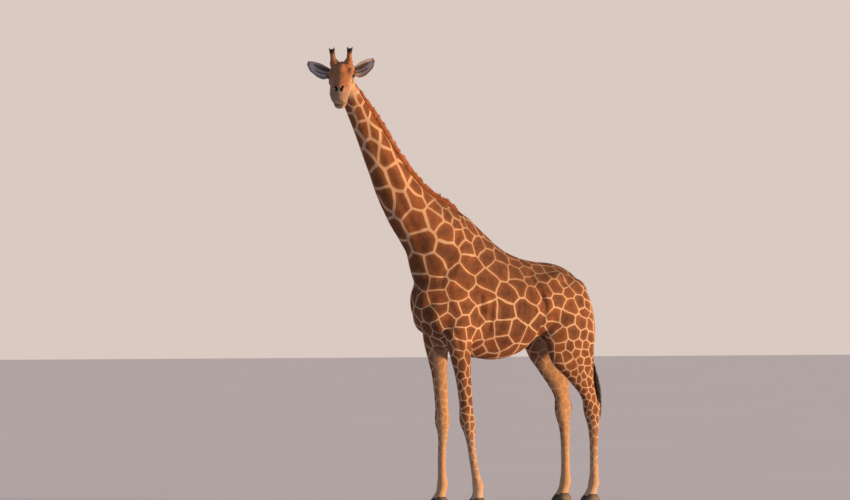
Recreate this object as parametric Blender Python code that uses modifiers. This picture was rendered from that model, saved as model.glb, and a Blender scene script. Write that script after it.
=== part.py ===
"""A standing giraffe cow at life size, with her head turned to look past her left shoulder.

Metres, +Z up. The giraffe faces -Y, so her left side is +X. The origin is on the floor, under the
middle of her bounding box. Flesh is lofted along the bones, fused, and parted into named pieces
by thin plane cuts; hooves, eyes, ossicones, ears, mane and tail tuft are pieces of their own.
"""

import math

import bmesh
import bpy
import numpy as np
from mathutils import Matrix, Vector

# ---- Driving dimensions -------------------------------------------------------------------------
GAP = 0.0004  # clearance between pieces of flesh
FIT = 0.00065  # clearance round a piece that is set into the flesh
JOINT_HEIGHT = 0.86  # of the knees and hocks
HEAD_TURN = math.radians(56.2)  # yaw of the head to the left of the body's heading
HEAD_PITCH = math.radians(-28.8)  # the nose points below the horizon
HEAD_ROLL = math.radians(2.8)  # the left side is a little higher
HEAD_JOINT = (2.003, 0.046, 4.044)  # where skull meets neck: forward, left, up
HEAD_FLOOR = 3.62  # all of the head is above this height
EYE_RADIUS = 0.0270
EYE_CENTRE = (0.196, 0.1030, 0.022)  # in the head's frame: along, left, up
EAR_WALL = 0.007
OSSICONE_HEIGHT = 0.160
OSSICONE_BASE = (0.074, 0.070, 0.088)
OSSICONE_LEAN = (-0.49, 0.085, 0.866)
MANE_AT_WITHERS = 0.074  # height of the hair above the crest of the neck
MANE_AT_POLL = 0.076
HOOF_TOP = 0.088  # where the claws end and the flesh begins
CLAW_SPLIT = 0.0032  # between the two claws of a foot
BODY_VOXEL = 0.014
HEAD_VOXEL = 0.0055
FLESH_TRIANGLES = 20000  # of the whole flesh after a first thinning
BODY_TRIANGLES = 5600  # after a second one that spares the head

# ---- Stations -----------------------------------------------------------------------------------
# Trunk and head sections: distance along the axis, top, bottom, half width, height of the widest
# level as a share of the depth, and how far the top pinches in (0 is a round back, 1 a ridge).
TRUNK_SECTIONS = [
    (-0.690, 1.965, 1.790, 0.105, 0.50, 0.00),
    (-0.640, 2.070, 1.700, 0.190, 0.50, 0.12),
    (-0.500, 2.225, 1.660, 0.262, 0.52, 0.30),
    (-0.320, 2.300, 1.640, 0.290, 0.50, 0.32),
    (-0.100, 2.318, 1.570, 0.312, 0.46, 0.30),
    (0.100, 2.362, 1.435, 0.322, 0.42, 0.32),
    (0.300, 2.455, 1.380, 0.318, 0.40, 0.36),
    (0.500, 2.620, 1.388, 0.294, 0.38, 0.46),
    (0.700, 2.765, 1.425, 0.262, 0.36, 0.52),
    (0.900, 2.700, 1.480, 0.236, 0.36, 0.50),
    (1.050, 2.480, 1.590, 0.200, 0.38, 0.35),
    (1.145, 2.240, 1.740, 0.140, 0.42, 0.20),
]
# Head sections along the skull from the nape to the lips, in the head's own frame.
SKULL_SECTIONS = [
    (-0.060, 0.058, -0.090, 0.080, 0.50, 0.10),
    (0.010, 0.088, -0.125, 0.098, 0.52, 0.20),
    (0.075, 0.108, -0.135, 0.109, 0.56, 0.22),
    (0.140, 0.114, -0.120, 0.114, 0.60, 0.22),
    (0.200, 0.106, -0.105, 0.110, 0.60, 0.28),
    (0.265, 0.090, -0.092, 0.102, 0.56, 0.34),
    (0.345, 0.072, -0.080, 0.099, 0.46, 0.36),
    (0.430, 0.058, -0.074, 0.098, 0.38, 0.38),
    (0.505, 0.046, -0.076, 0.090, 0.34, 0.36),
    (0.560, 0.024, -0.080, 0.074, 0.34, 0.28),
    (0.598, -0.016, -0.080, 0.045, 0.40, 0.10),
]
JAW_SECTIONS = [
    (0.030, -0.045, -0.138, 0.082, 0.55, 0.00),
    (0.105, -0.050, -0.166, 0.096, 0.58, 0.00),
    (0.190, -0.050, -0.156, 0.092, 0.52, 0.00),
    (0.290, -0.055, -0.134, 0.077, 0.50, 0.00),
    (0.390, -0.060, -0.124, 0.072, 0.50, 0.00),
    (0.480, -0.066, -0.134, 0.066, 0.50, 0.00),
    (0.540, -0.074, -0.142, 0.057, 0.50, 0.00),
    (0.576, -0.092, -0.133, 0.035, 0.55, 0.00),
]
# Limb sections: forward, left, up, half width, half depth in front and half depth behind.
# On the neck, front is the nape and behind is the throat, because its path runs upwards.
NECK_SECTIONS = [
    (0.700, 0.000, 2.040, 0.190, 0.400, 0.420),
    (0.850, 0.000, 2.300, 0.205, 0.390, 0.405),
    (0.993, 0.000, 2.526, 0.194, 0.340, 0.346),
    (1.150, 0.000, 2.680, 0.174, 0.276, 0.288),
    (1.278, 0.000, 2.811, 0.155, 0.234, 0.255),
    (1.430, 0.001, 3.020, 0.135, 0.192, 0.215),
    (1.551, 0.003, 3.229, 0.121, 0.157, 0.180),
    (1.698, 0.008, 3.488, 0.107, 0.122, 0.148),
    (1.838, 0.018, 3.722, 0.094, 0.088, 0.122),
    (1.930, 0.030, 3.885, 0.088, 0.068, 0.108),
    (1.995, 0.042, 4.000, 0.084, 0.058, 0.094),
]
FORELEG_SECTIONS = [
    (0.830, 0.150, 2.020, 0.100, 0.190, 0.190),
    (0.830, 0.176, 1.800, 0.108, 0.175, 0.165),
    (0.835, 0.188, 1.600, 0.104, 0.148, 0.135),
    (0.820, 0.188, 1.430, 0.086, 0.115, 0.108),
    (0.800, 0.182, 1.280, 0.071, 0.088, 0.086),
    (0.780, 0.176, 1.100, 0.063, 0.073, 0.078),
    (0.765, 0.172, 0.945, 0.059, 0.068, 0.073),
    (0.755, 0.170, 0.870, 0.064, 0.080, 0.072),
    (0.750, 0.169, 0.800, 0.065, 0.082, 0.076),
    (0.744, 0.168, 0.725, 0.054, 0.060, 0.066),
    (0.741, 0.167, 0.620, 0.043, 0.044, 0.054),
    (0.734, 0.166, 0.450, 0.040, 0.040, 0.048),
    (0.721, 0.166, 0.290, 0.042, 0.042, 0.053),
    (0.710, 0.166, 0.212, 0.053, 0.053, 0.068),
    (0.722, 0.166, 0.140, 0.048, 0.046, 0.054),
    (0.730, 0.166, 0.098, 0.066, 0.066, 0.070),
    (0.734, 0.166, 0.060, 0.070, 0.074, 0.074),
]
HINDLEG_SECTIONS = [
    (-0.340, 0.120, 2.080, 0.120, 0.170, 0.260),
    (-0.360, 0.165, 1.860, 0.128, 0.230, 0.310),
    (-0.385, 0.190, 1.640, 0.118, 0.262, 0.305),
    (-0.420, 0.196, 1.460, 0.100, 0.262, 0.268),
    (-0.480, 0.190, 1.310, 0.083, 0.180, 0.205),
    (-0.548, 0.178, 1.160, 0.065, 0.108, 0.138),
    (-0.602, 0.168, 1.030, 0.052, 0.064, 0.100),
    (-0.640, 0.160, 0.925, 0.057, 0.084, 0.104),
    (-0.662, 0.156, 0.850, 0.058, 0.082, 0.090),
    (-0.676, 0.154, 0.760, 0.052, 0.062, 0.068),
    (-0.684, 0.153, 0.640, 0.044, 0.049, 0.056),
    (-0.688, 0.153, 0.450, 0.041, 0.044, 0.053),
    (-0.690, 0.153, 0.290, 0.045, 0.046, 0.058),
    (-0.688, 0.153, 0.210, 0.056, 0.056, 0.070),
    (-0.670, 0.153, 0.140, 0.050, 0.048, 0.056),
    (-0.656, 0.153, 0.095, 0.065, 0.068, 0.070),
    (-0.652, 0.153, 0.060, 0.069, 0.075, 0.075),
]
TAIL_SECTIONS = [
    (-0.520, 0.000, 2.060, 0.060, 0.060, 0.050),
    (-0.620, 0.000, 2.055, 0.050, 0.048, 0.045),
    (-0.710, -0.003, 1.975, 0.038, 0.036, 0.036),
    (-0.760, -0.007, 1.840, 0.028, 0.027, 0.027),
    (-0.790, -0.013, 1.600, 0.021, 0.021, 0.021),
    (-0.812, -0.016, 1.290, 0.018, 0.018, 0.018),
]
TUFT_SECTIONS = [
    (-0.8115, -0.016, 1.305, 0.012, 0.012, 0.012),
    (-0.816, -0.016, 1.270, 0.026, 0.026, 0.026),
    (-0.830, -0.014, 1.180, 0.042, 0.042, 0.042),
    (-0.850, -0.008, 1.080, 0.048, 0.046, 0.046),
    (-0.852, 0.000, 0.960, 0.044, 0.042, 0.042),
    (-0.846, 0.006, 0.860, 0.030, 0.028, 0.028),
    (-0.842, 0.008, 0.790, 0.008, 0.008, 0.008),
]
# How each leg steps away from its table: forward shift at the elbow or stifle, knee or hock, foot.
LEG_STEPS = {
    "fore_left": (0.000, -0.014, -0.102),
    "fore_right": (0.020, 0.045, 0.105),
    "hind_left": (0.000, -0.012, 0.000),
    "hind_right": (-0.020, 0.115, 0.120),
}
# Muscles and bony points on the left side, mirrored to the right: centre and radii along
# forward, left and up, and how far the forward axis tips up, in degrees.
BODY_MUSCLES = [
    ((0.850, 0.148, 2.090), (0.150, 0.080, 0.390), 20),  # shoulder blade
    ((0.990, 0.145, 1.800), (0.150, 0.090, 0.180), 0),  # point of the shoulder
    ((0.715, 0.195, 1.740), (0.140, 0.085, 0.260), 22),  # triceps
    ((1.100, 0.052, 1.930), (0.118, 0.100, 0.210), 0),  # breast
    ((-0.200, 0.176, 2.110), (0.200, 0.076, 0.105), -10),  # point of the hip
    ((-0.440, 0.150, 1.990), (0.190, 0.095, 0.160), -40),  # croup
    ((-0.560, 0.150, 1.700), (0.150, 0.095, 0.300), 0),  # hamstring
    ((-0.235, 0.205, 1.540), (0.110, 0.055, 0.130), -20),  # stifle
]
HEAD_LUMPS = [
    ((0.178, 0.082, 0.050), (0.074, 0.036, 0.036), -6),  # brow over the eye
    ((0.215, 0.094, -0.012), (0.070, 0.024, 0.020), -10),  # cheekbone
    ((0.110, 0.074, -0.080), (0.085, 0.040, 0.072), 0),  # chewing muscle
    ((0.502, 0.034, 0.020), (0.046, 0.024, 0.025), -20),  # nostril wing
    ((0.545, 0.034, -0.050), (0.048, 0.032, 0.030), -10),  # upper lip
    ((0.445, 0.051, -0.064), (0.066, 0.024, 0.026), 0),  # corner of the mouth
    ((0.190, 0.000, 0.090), (0.075, 0.044, 0.030), -10),  # bump between the eyes
    ((0.062, 0.066, 0.096), (0.056, 0.044, 0.038), 0),  # root of the ossicone
    ((0.010, 0.078, 0.012), (0.050, 0.036, 0.045), 0),  # root of the ear
]
# Claw sections: height as a share of the hoof, reach of toe and heel, half width.
CLAW_SECTIONS = [
    (0.00, 0.104, 0.082, 0.0350),
    (0.07, 0.108, 0.085, 0.0375),
    (0.55, 0.084, 0.083, 0.0370),
    (1.00, 0.060, 0.076, 0.0355),
]
# Ossicone sections: distance up as a share of its height, and radius.
OSSICONE_SECTIONS = [
    (0.0, 0.042),
    (0.2, 0.033),
    (0.45, 0.0265),
    (0.72, 0.0245),
    (0.92, 0.0245),
    (1.0, 0.0160),
]
# Half widths of the ear above and below its middle line, from root to tip.
EAR_HALVES = [
    (0.022, 0.024),
    (0.027, 0.060),
    (0.038, 0.080),
    (0.048, 0.085),
    (0.045, 0.076),
    (0.036, 0.060),
    (0.014, 0.018),
]
# The two ears are held a little unlike: root and tip of the left and of the right one, both given
# for the left side of the head.
EAR_ENDS = {
    1.0: ((0.000, 0.074, -0.026), (-0.030, 0.292, 0.063)),
    -1.0: ((0.000, 0.087, -0.026), (-0.030, 0.322, 0.063)),
}
EAR_FACING = (1.0, 0.12, -0.05)
# Mane profile: rise as a share of the hair's height, and half width.
MANE_PROFILE = [(-0.45, 0.022), (0.35, 0.019), (0.80, 0.012), (1.0, 0.005)]
# Planes that part the flesh: a point on each, and the way it faces.
NECK_BASE, NECK_BASE_UP = (1.020, 0.0, 2.520), (0.62, 0.0, 0.78)
POLL, POLL_DOWN = (1.925, 0.0, 3.875), (-0.48, 0.0, -0.877)
TAIL_ROOT, TAIL_DOWN = (-0.758, -0.007, 1.850), (-0.11, 0.0, -1.0)
FORELEG_TOP, FORELEG_ROOM = 1.362, (0.40, 0.52)  # height of the cut, and width and length it takes in
HINDLEG_TOP, HINDLEG_ROOM = 1.290, (0.40, 0.70)
DOWN = (0.0, 0.0, -1.0)


# ---- Frames and sections ------------------------------------------------------------------------
def place(forward, left, up):
    """A point of the body frame, as the scene's X, Y and Z."""
    return Vector((left, -forward, up))


def head_frame():
    """Matrix of the head: X to its left, Y from the nape to the lips, Z out of the forehead."""
    turned = Matrix.Rotation(math.pi + HEAD_TURN, 4, "Z")
    pitched = Matrix.Rotation(HEAD_PITCH, 4, "X")
    rolled = Matrix.Rotation(HEAD_ROLL, 4, "Y")
    return Matrix.Translation(place(*HEAD_JOINT)) @ turned @ pitched @ rolled


HEAD = head_frame()


def head_point(along, left, up):
    """A point of the head frame in the scene. Facing +Y, the head's own left is -X."""
    return HEAD @ Vector((-left, along, up))


def smooth_rows(rows, steps):
    """Catmull-Rom through every column of the rows, with the given number of steps per span."""
    table = np.array(rows, float)
    padded = np.vstack([2 * table[0] - table[1], table, 2 * table[-1] - table[-2]])
    spans = []
    for a, b, c, d in zip(padded, padded[1:], padded[2:], padded[3:]):
        t = np.linspace(0, 1, steps, endpoint=False)[:, None]
        spans.append(
            0.5 * (2 * b + (c - a) * t + (2 * a - 5 * b + 4 * c - d) * t**2 + (3 * b - a - 3 * c + d) * t**3)
        )
    return np.vstack([*spans, table[-1:]])


def ring_angles(sides):
    return np.arange(sides) * 2 * math.pi / sides


def loft(name, rings):
    """A closed tube through rings of points, an array of shape (rings, sides, 3), with fan caps."""
    count, sides, _ = rings.shape
    mesh = bmesh.new()
    verts = [[mesh.verts.new(point) for point in ring] for ring in rings]
    for lower, upper in zip(verts, verts[1:]):
        for i in range(sides):
            j = (i + 1) % sides
            mesh.faces.new((lower[i], lower[j], upper[j], upper[i]))
    for ring in (verts[0][::-1], verts[-1]):
        mesh.faces.new(ring)
    bmesh.ops.triangulate(mesh, faces=[face for face in mesh.faces if len(face.verts) > 4])
    bmesh.ops.recalc_face_normals(mesh, faces=mesh.faces)
    return object_of(name, mesh)


def object_of(name, mesh):
    data = bpy.data.meshes.new(name)
    mesh.to_mesh(data)
    mesh.free()
    made = bpy.data.objects.new(name, data)
    bpy.context.scene.collection.objects.link(made)
    return made


def axial_loft(name, sections, to_scene, steps=4, sides=28):
    """Loft of upright sections on a straight axis: an egg outline between top and bottom."""
    rows = smooth_rows(sections, steps)
    turn = ring_angles(sides)
    across, rise = np.cos(turn), np.sin(turn)
    rings = []
    for along, top, bottom, half_width, widest, pinch in rows:
        level = bottom + (top - bottom) * widest
        height = np.where(rise > 0, (top - level) * rise, (level - bottom) * rise)
        width = half_width * across * (1 - pinch * np.clip(rise, 0, 1) ** 1.4)
        rings.append([to_scene(along, w, level + h) for w, h in zip(width, height)])
    return loft(name, np.array(rings))


def limb_loft(name, sections, steps=4, sides=24):
    """Loft of elliptical sections square to a bending path, with unlike depths before and behind."""
    rows = smooth_rows(sections, steps)
    centres = np.array([place(*row[:3]) for row in rows])
    along = np.gradient(centres, axis=0)
    along /= np.linalg.norm(along, axis=1)[:, None]
    lateral = np.array([1.0, 0.0, 0.0]) - along * along[:, :1]
    lateral /= np.linalg.norm(lateral, axis=1)[:, None]
    ahead = np.cross(along, lateral)
    turn = ring_angles(sides)
    rings = []
    for centre, side, front, row in zip(centres, lateral, ahead, rows):
        depth = np.where(np.sin(turn) > 0, row[4], row[5]) * np.sin(turn)
        width = row[3] * np.cos(turn)
        rings.append(centre + np.outer(width, side) + np.outer(depth, front))
    return loft(name, np.array(rings))


def lump(name, centre, radii, tip, to_scene):
    """An ellipsoid in a forward, left, up frame, its long axis tipped up by some degrees."""
    mesh = bmesh.new()
    bmesh.ops.create_uvsphere(mesh, u_segments=20, v_segments=12, radius=1.0)
    tipped = Matrix.Rotation(-math.radians(tip), 3, "Y")
    for vert in mesh.verts:
        local = tipped @ Vector(a * b for a, b in zip(vert.co, radii)) + Vector(centre)
        vert.co = to_scene(*local)
    bmesh.ops.recalc_face_normals(mesh, faces=mesh.faces)
    return object_of(name, mesh)


def both_sides(lumps, name, to_scene):
    """Each lump with its mirror image, except those on the middle plane."""
    made = []
    for number, (centre, radii, tip) in enumerate(lumps):
        for side in (1, -1) if centre[1] else (1,):
            mirrored = (centre[0], centre[1] * side, centre[2])
            made.append(lump(f"{name}_{number}_{side}", mirrored, radii, tip, to_scene))
    return made


# ---- Fusing and parting -------------------------------------------------------------------------
def settled(source, name):
    """A new object holding the evaluated mesh of source, which is then removed."""
    graph = bpy.context.evaluated_depsgraph_get()
    mesh = bpy.data.meshes.new_from_object(source.evaluated_get(graph))
    made = bpy.data.objects.new(name, mesh)
    made.matrix_world = source.matrix_world
    bpy.context.scene.collection.objects.link(made)
    bpy.data.objects.remove(source)
    return made


def melted(name, pieces, voxel, smoothing):
    """The pieces, which are used up, melted into one surface by a voxel remesh and smoothed."""
    mesh = bmesh.new()
    for piece in pieces:
        mesh.from_mesh(piece.data)
        bpy.data.objects.remove(piece)
    whole = object_of(f"{name}_pieces", mesh)
    remesh = whole.modifiers.new("melt", "REMESH")
    remesh.mode = "VOXEL"
    remesh.voxel_size = voxel
    smooth = whole.modifiers.new("smooth", "SMOOTH")
    smooth.factor = 0.5
    smooth.iterations = smoothing
    return settled(whole, name)


def thinned(source, triangles, below=math.inf):
    """Source collapsed to a number of triangles, sparing whatever is above a height."""
    group = source.vertex_groups.new(name="thin")
    group.add([vert.index for vert in source.data.vertices if vert.co.z < below], 1.0, "REPLACE")
    thin = source.modifiers.new("thin", "DECIMATE")
    thin.vertex_group = group.name
    thin.vertex_group_factor = 0.0
    thin.ratio = triangles / sum(len(face.vertices) - 2 for face in source.data.polygons)
    return settled(source, source.name)


def combined(first, second, operation, name, keep_second=True):
    """A Boolean of two meshes as a new object. The first is used up."""
    boolean = first.modifiers.new("cut", "BOOLEAN")
    boolean.operation = operation
    boolean.object = second
    made = settled(first, name)
    if not keep_second:
        bpy.data.objects.remove(second)
    return made


def copy_of(source, name):
    made = bpy.data.objects.new(name, source.data.copy())
    bpy.context.scene.collection.objects.link(made)
    return made


def swollen(source):
    """A copy of source moved out along its normals, to cut a neighbour with clearance."""
    made = copy_of(source, f"{source.name}_swollen")
    grow = made.modifiers.new("grow", "DISPLACE")
    grow.strength = FIT
    grow.mid_level = 0.0
    return settled(made, made.name)


def clear_of(piece, *neighbours):
    """The piece with its neighbours cut away from it, each a little wider than it is."""
    name = piece.name
    for neighbour in neighbours:
        piece.name = f"{name}_uncut"
        piece = combined(piece, swollen(neighbour), "DIFFERENCE", name, keep_second=False)
    return largest_body(piece)


def largest_body(piece):
    """Drops the scraps that a cut can leave, and keeps the biggest connected body."""
    mesh = bmesh.new()
    mesh.from_mesh(piece.data)
    waiting = set(mesh.verts)
    bodies = []
    while waiting:
        front = [waiting.pop()]
        body = list(front)
        while front:
            vert = front.pop()
            for edge in vert.link_edges:
                other = edge.other_vert(vert)
                if other in waiting:
                    waiting.remove(other)
                    front.append(other)
                    body.append(other)
        bodies.append(body)
    bodies.sort(key=len)
    for body in bodies[:-1]:
        bmesh.ops.delete(mesh, geom=body, context="VERTS")
    mesh.to_mesh(piece.data)
    mesh.free()
    return piece


def slab(point, normal, size, thickness):
    """A box on a plane: its near face is centred on point, it fills normal's side, and its size
    is measured along the scene's X first and then square to that."""
    mesh = bmesh.new()
    bmesh.ops.create_cube(mesh, size=1.0)
    normal = Vector(normal).normalized()
    across = (Vector((1.0, 0.0, 0.0)) - normal * normal.x).normalized()
    turn = Matrix((across, normal.cross(across), normal)).transposed().to_4x4()
    scale = Matrix.Diagonal((size[0], size[1], thickness, 1.0))
    shift = Matrix.Translation(Vector(point) + normal * thickness / 2)
    bmesh.ops.transform(mesh, matrix=shift @ turn @ scale, verts=mesh.verts)
    return object_of("slab", mesh)


def parted(flesh, name, point, normal, size, thickness):
    """Cuts out the flesh that a slab holds as a piece of its own: (what is left, the piece)."""
    holder = slab(point, normal, size, thickness)
    piece = combined(copy_of(flesh, "copy"), holder, "INTERSECT", name, keep_second=False)
    room = Vector(normal).normalized() * GAP
    size = (size[0] + 2 * GAP, size[1] + 2 * GAP)
    holder = slab(Vector(point) - room, normal, size, thickness + 2 * GAP)
    rest = combined(flesh, holder, "DIFFERENCE", flesh.name, keep_second=False)
    return rest, largest_body(piece)


# ---- Body ---------------------------------------------------------------------------------------
def stepped(sections, steps, mirrored):
    """Leg sections with the foot carried forward or back, and mirrored for a right leg."""
    rows = []
    shoulder_height = sections[0][2]
    top, joint, foot = steps
    for forward, left, up, *radii in sections:
        if up > JOINT_HEIGHT:
            share = (up - JOINT_HEIGHT) / (shoulder_height - JOINT_HEIGHT)
            shift = joint + (top - joint) * min(1.0, 2 * share)
            shift *= 1 - max(0.0, 2 * share - 1)
        else:
            shift = foot + (joint - foot) * max(0.0, up - HOOF_TOP) / (JOINT_HEIGHT - HOOF_TOP)
        rows.append((forward + shift, -left if mirrored else left, up, *radii))
    return rows


def leg_rows():
    return {
        name: stepped(
            FORELEG_SECTIONS if name.startswith("fore") else HINDLEG_SECTIONS,
            steps,
            name.endswith("right"),
        )
        for name, steps in LEG_STEPS.items()
    }


def hock_tendon(name, rows):
    """The tendon from the back of the thigh to the point of the hock, beside the shin bone."""
    thigh, shin, hock = (next(r for r in rows if r[2] < level) for level in (1.35, 1.10, 0.95))
    back = 0.30 * (thigh[5] + hock[5])
    sections = [
        (thigh[0] - 0.135, thigh[1], thigh[2], 0.030, 0.030, 0.030),
        (shin[0] - back, shin[1], shin[2], 0.020, 0.022, 0.022),
        (hock[0] - 0.092, hock[1], hock[2] + 0.040, 0.021, 0.024, 0.024),
        (hock[0] - 0.098, hock[1], hock[2] - 0.010, 0.027, 0.030, 0.028),
        (hock[0] - 0.062, hock[1], hock[2] - 0.100, 0.022, 0.022, 0.022),
    ]
    return limb_loft(name, sections, sides=12)


def whole_flesh(legs):
    """Trunk, neck, legs and tail fused first and smoothed, then the finer head fused on to them."""
    pieces = [axial_loft("trunk_loft", TRUNK_SECTIONS, place)]
    pieces.append(limb_loft("neck_loft", NECK_SECTIONS, sides=28))
    for name, rows in legs.items():
        pieces.append(limb_loft(f"{name}_loft", rows))
        if name.startswith("hind"):
            pieces.append(hock_tendon(f"{name}_tendon", rows))
    pieces += both_sides(BODY_MUSCLES, "muscle", place)
    pieces.append(limb_loft("tail_loft", TAIL_SECTIONS, sides=16))
    body = melted("body", pieces, BODY_VOXEL, 14)
    pieces = [
        body,
        axial_loft("skull_loft", SKULL_SECTIONS, head_point),
        axial_loft("jaw_loft", JAW_SECTIONS, head_point),
        *both_sides(HEAD_LUMPS, "lump", head_point),
    ]
    flesh = thinned(melted("flesh", pieces, HEAD_VOXEL, 5), FLESH_TRIANGLES)
    return thinned(flesh, BODY_TRIANGLES, below=HEAD_FLOOR)


def part_flesh(flesh, legs):
    """Named pieces of the flesh: tail, legs in two lengths, neck and head; the rest is the trunk."""
    pieces = {}
    flesh, pieces["tail"] = parted(flesh, "tail", place(*TAIL_ROOT), place(*TAIL_DOWN), (0.12, 0.10), 0.9)
    for name, rows in legs.items():
        level, room = (FORELEG_TOP, FORELEG_ROOM) if name.startswith("fore") else (HINDLEG_TOP, HINDLEG_ROOM)
        middle = next(row[0] for row in rows if row[2] < level) - 0.03
        side = math.copysign(1.0, rows[0][1])
        top = place(middle, side * (room[0] / 2 + GAP), level)
        flesh, leg = parted(flesh, "leg", top, DOWN, room, 1.6)
        foot, knee = rows[-1], next(row for row in rows if row[2] < JOINT_HEIGHT)
        sole = slab(place(foot[0], foot[1], HOOF_TOP), DOWN, (0.6, 0.6), 0.5)
        leg = combined(leg, sole, "DIFFERENCE", "leg", keep_second=False)
        joint = place(knee[0], knee[1], knee[2] - 0.115)
        leg, lower = parted(leg, f"leg_{name}_lower", joint, DOWN, (0.6, 0.6), 1.0)
        leg.name = f"leg_{name}_upper"
        pieces[leg.name], pieces[lower.name] = leg, lower
    flesh, head = parted(flesh, "head", place(*NECK_BASE), place(*NECK_BASE_UP), (1.2, 1.6), 2.4)
    head, neck = parted(head, "neck", place(*POLL), place(*POLL_DOWN), (0.50, 1.4), 2.4)
    flesh.name, head.name = "trunk", "head"
    return {"trunk": flesh, "neck": neck, "head": head, **pieces}


# ---- Hooves -------------------------------------------------------------------------------------
def claw(name, foot, inner):
    """One of a foot's two claws: a D outline, flat towards its twin, that shrinks up the wall."""
    side = (-1 if inner else 1) * math.copysign(1.0, foot[1])
    turn = ring_angles(16)
    rings = []
    for share, toe, heel, half in CLAW_SECTIONS:
        reach = np.where(np.cos(turn) > 0, toe, heel)
        ahead = reach * np.sign(np.cos(turn)) * np.abs(np.cos(turn)) ** 0.85
        flatness = np.where(np.sin(turn) > 0, 0.95, 0.55)
        aside = half * np.sign(np.sin(turn)) * np.abs(np.sin(turn)) ** flatness
        height = share * (HOOF_TOP - GAP)
        centre = foot[1] + side * (half + CLAW_SPLIT / 2)
        rings.append([place(foot[0] + a, centre + side * b, height) for a, b in zip(ahead, aside)])
    return loft(name, np.array(rings))


def hooves(legs):
    return [
        claw(f"hoof_{name}_{'inner' if inner else 'outer'}", rows[-1], inner)
        for name, rows in legs.items()
        for inner in (True, False)
    ]


# ---- Head ---------------------------------------------------------------------------------------
def eyeball(name, side):
    mesh = bmesh.new()
    bmesh.ops.create_uvsphere(mesh, u_segments=14, v_segments=8, radius=EYE_RADIUS)
    along, left, up = EYE_CENTRE
    centre = Matrix.Translation(head_point(along, left * side, up))
    bmesh.ops.transform(mesh, matrix=centre, verts=mesh.verts)
    return object_of(name, mesh)


def ear_shell(name, side):
    """A leaf-shaped cup with a deeper lower half, rolled into a tube at its root."""
    root, tip = (Vector(end) for end in EAR_ENDS[side])
    along = tip - root
    facing = Vector(EAR_FACING)
    facing = (facing - along.normalized() * facing.dot(along.normalized())).normalized()
    down = along.cross(facing).normalized()
    spans = 6
    mesh = bmesh.new()
    grid = []
    for step, (above, below) in enumerate(EAR_HALVES):
        share = step / (len(EAR_HALVES) - 1)
        roll = math.radians(48 + 110 * (1 - share) ** 3)
        line = []
        for j in range(spans + 1):
            part = 2 * j / spans - 1
            half = (below if part > 0 else above) / math.sin(min(roll, math.pi / 2))
            aside = half * math.sin(part * roll)
            depth = half * (1 - math.cos(part * roll))
            x, y, z = root + along * share + down * aside + facing * (depth - 0.02)
            line.append(mesh.verts.new(head_point(x, y * side, z)))
        grid.append(line)
    for inner, outer in zip(grid, grid[1:]):
        for j in range(spans):
            mesh.faces.new((inner[j], inner[j + 1], outer[j + 1], outer[j]))
    ear = object_of(f"{name}_sheet", mesh)
    wall = ear.modifiers.new("wall", "SOLIDIFY")
    wall.thickness = EAR_WALL
    wall.offset = 0.0
    return settled(ear, name)


def ossicone(name, side):
    """A skin-covered knob of bone that leans back: a stubby cone with hair round its blunt top."""
    along, left, up = OSSICONE_BASE
    base = Vector((along, left * side, up))
    along, left, up = OSSICONE_LEAN
    lean = Vector((along, left * side, up)).normalized()
    first = lean.orthogonal().normalized()
    second = lean.cross(first)
    rings = []
    for share, radius in OSSICONE_SECTIONS:
        centre = base + lean * (OSSICONE_HEIGHT * share)
        ring = [centre + radius * (first * math.cos(t) + second * math.sin(t)) for t in ring_angles(14)]
        rings.append([head_point(*point) for point in ring])
    return loft(name, np.array(rings))


# ---- Mane, tail tuft ----------------------------------------------------------------------------
def mane_fin():
    """The upright mane: a fin on the crest of the neck from withers to poll, tallest up high."""
    rows = smooth_rows(NECK_SECTIONS, 3)[4:-2]
    path = rows[:, [0, 2]]
    ahead = np.gradient(path, axis=0)
    ahead /= np.linalg.norm(ahead, axis=1)[:, None]
    outward = np.stack([-ahead[:, 1], ahead[:, 0]], axis=1)
    crest = path + outward * rows[:, 4:5]
    rings = []
    for number, (root, out, row) in enumerate(zip(crest, outward, rows)):
        share = number / (len(rows) - 1)
        height = MANE_AT_WITHERS + (MANE_AT_POLL - MANE_AT_WITHERS) * min(1.0, share / 0.6)
        height *= min(1.0, 0.35 + 4 * share) * (1.0 - 0.6 * max(0.0, share - 0.75) / 0.25)
        ring = []
        for rise, half in MANE_PROFILE:
            ring.append((*(root + out * height * rise), half))
        right = [place(f, row[1] - half, z) for f, z, half in ring]
        left = [place(f, row[1] + half, z) for f, z, half in ring[::-1]]
        rings.append(right + left)
    return loft("mane", np.array(rings))


# ---- Materials ----------------------------------------------------------------------------------
FINISHES = {
    "coat": ((0.42, 0.19, 0.075, 1.0), 0.75),
    "mane": ((0.36, 0.13, 0.045, 1.0), 0.80),
    "tuft": ((0.018, 0.013, 0.010, 1.0), 0.60),
    "ossicone": ((0.30, 0.14, 0.06, 1.0), 0.75),
    "eye": ((0.012, 0.008, 0.006, 1.0), 0.10),
    "hoof": ((0.075, 0.055, 0.042, 1.0), 0.55),
}


def finish_of(name):
    """The finish whose name is a word in the piece's own, or else the coat."""
    return next((finish for finish in FINISHES if finish in name.split("_")), "coat")


def material(name):
    colour, roughness = FINISHES[name]
    made = bpy.data.materials.get(name) or bpy.data.materials.new(name)
    made.use_nodes = True
    shader = made.node_tree.nodes["Principled BSDF"]
    shader.inputs["Base Color"].default_value = colour
    shader.inputs["Roughness"].default_value = roughness
    shader.inputs["Metallic"].default_value = 0.0
    return made


# ---- Assembly -----------------------------------------------------------------------------------
def stand_at_origin(pieces):
    """Moves every mesh so that the middle of the giraffe's box is over the origin, feet at zero."""
    corners = np.array([vert.co for piece in pieces for vert in piece.data.vertices])
    low, high = corners.min(axis=0), corners.max(axis=0)
    shift = Matrix.Translation((-(low[0] + high[0]) / 2, -(low[1] + high[1]) / 2, -low[2]))
    for piece in pieces:
        piece.data.transform(shift)


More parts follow.
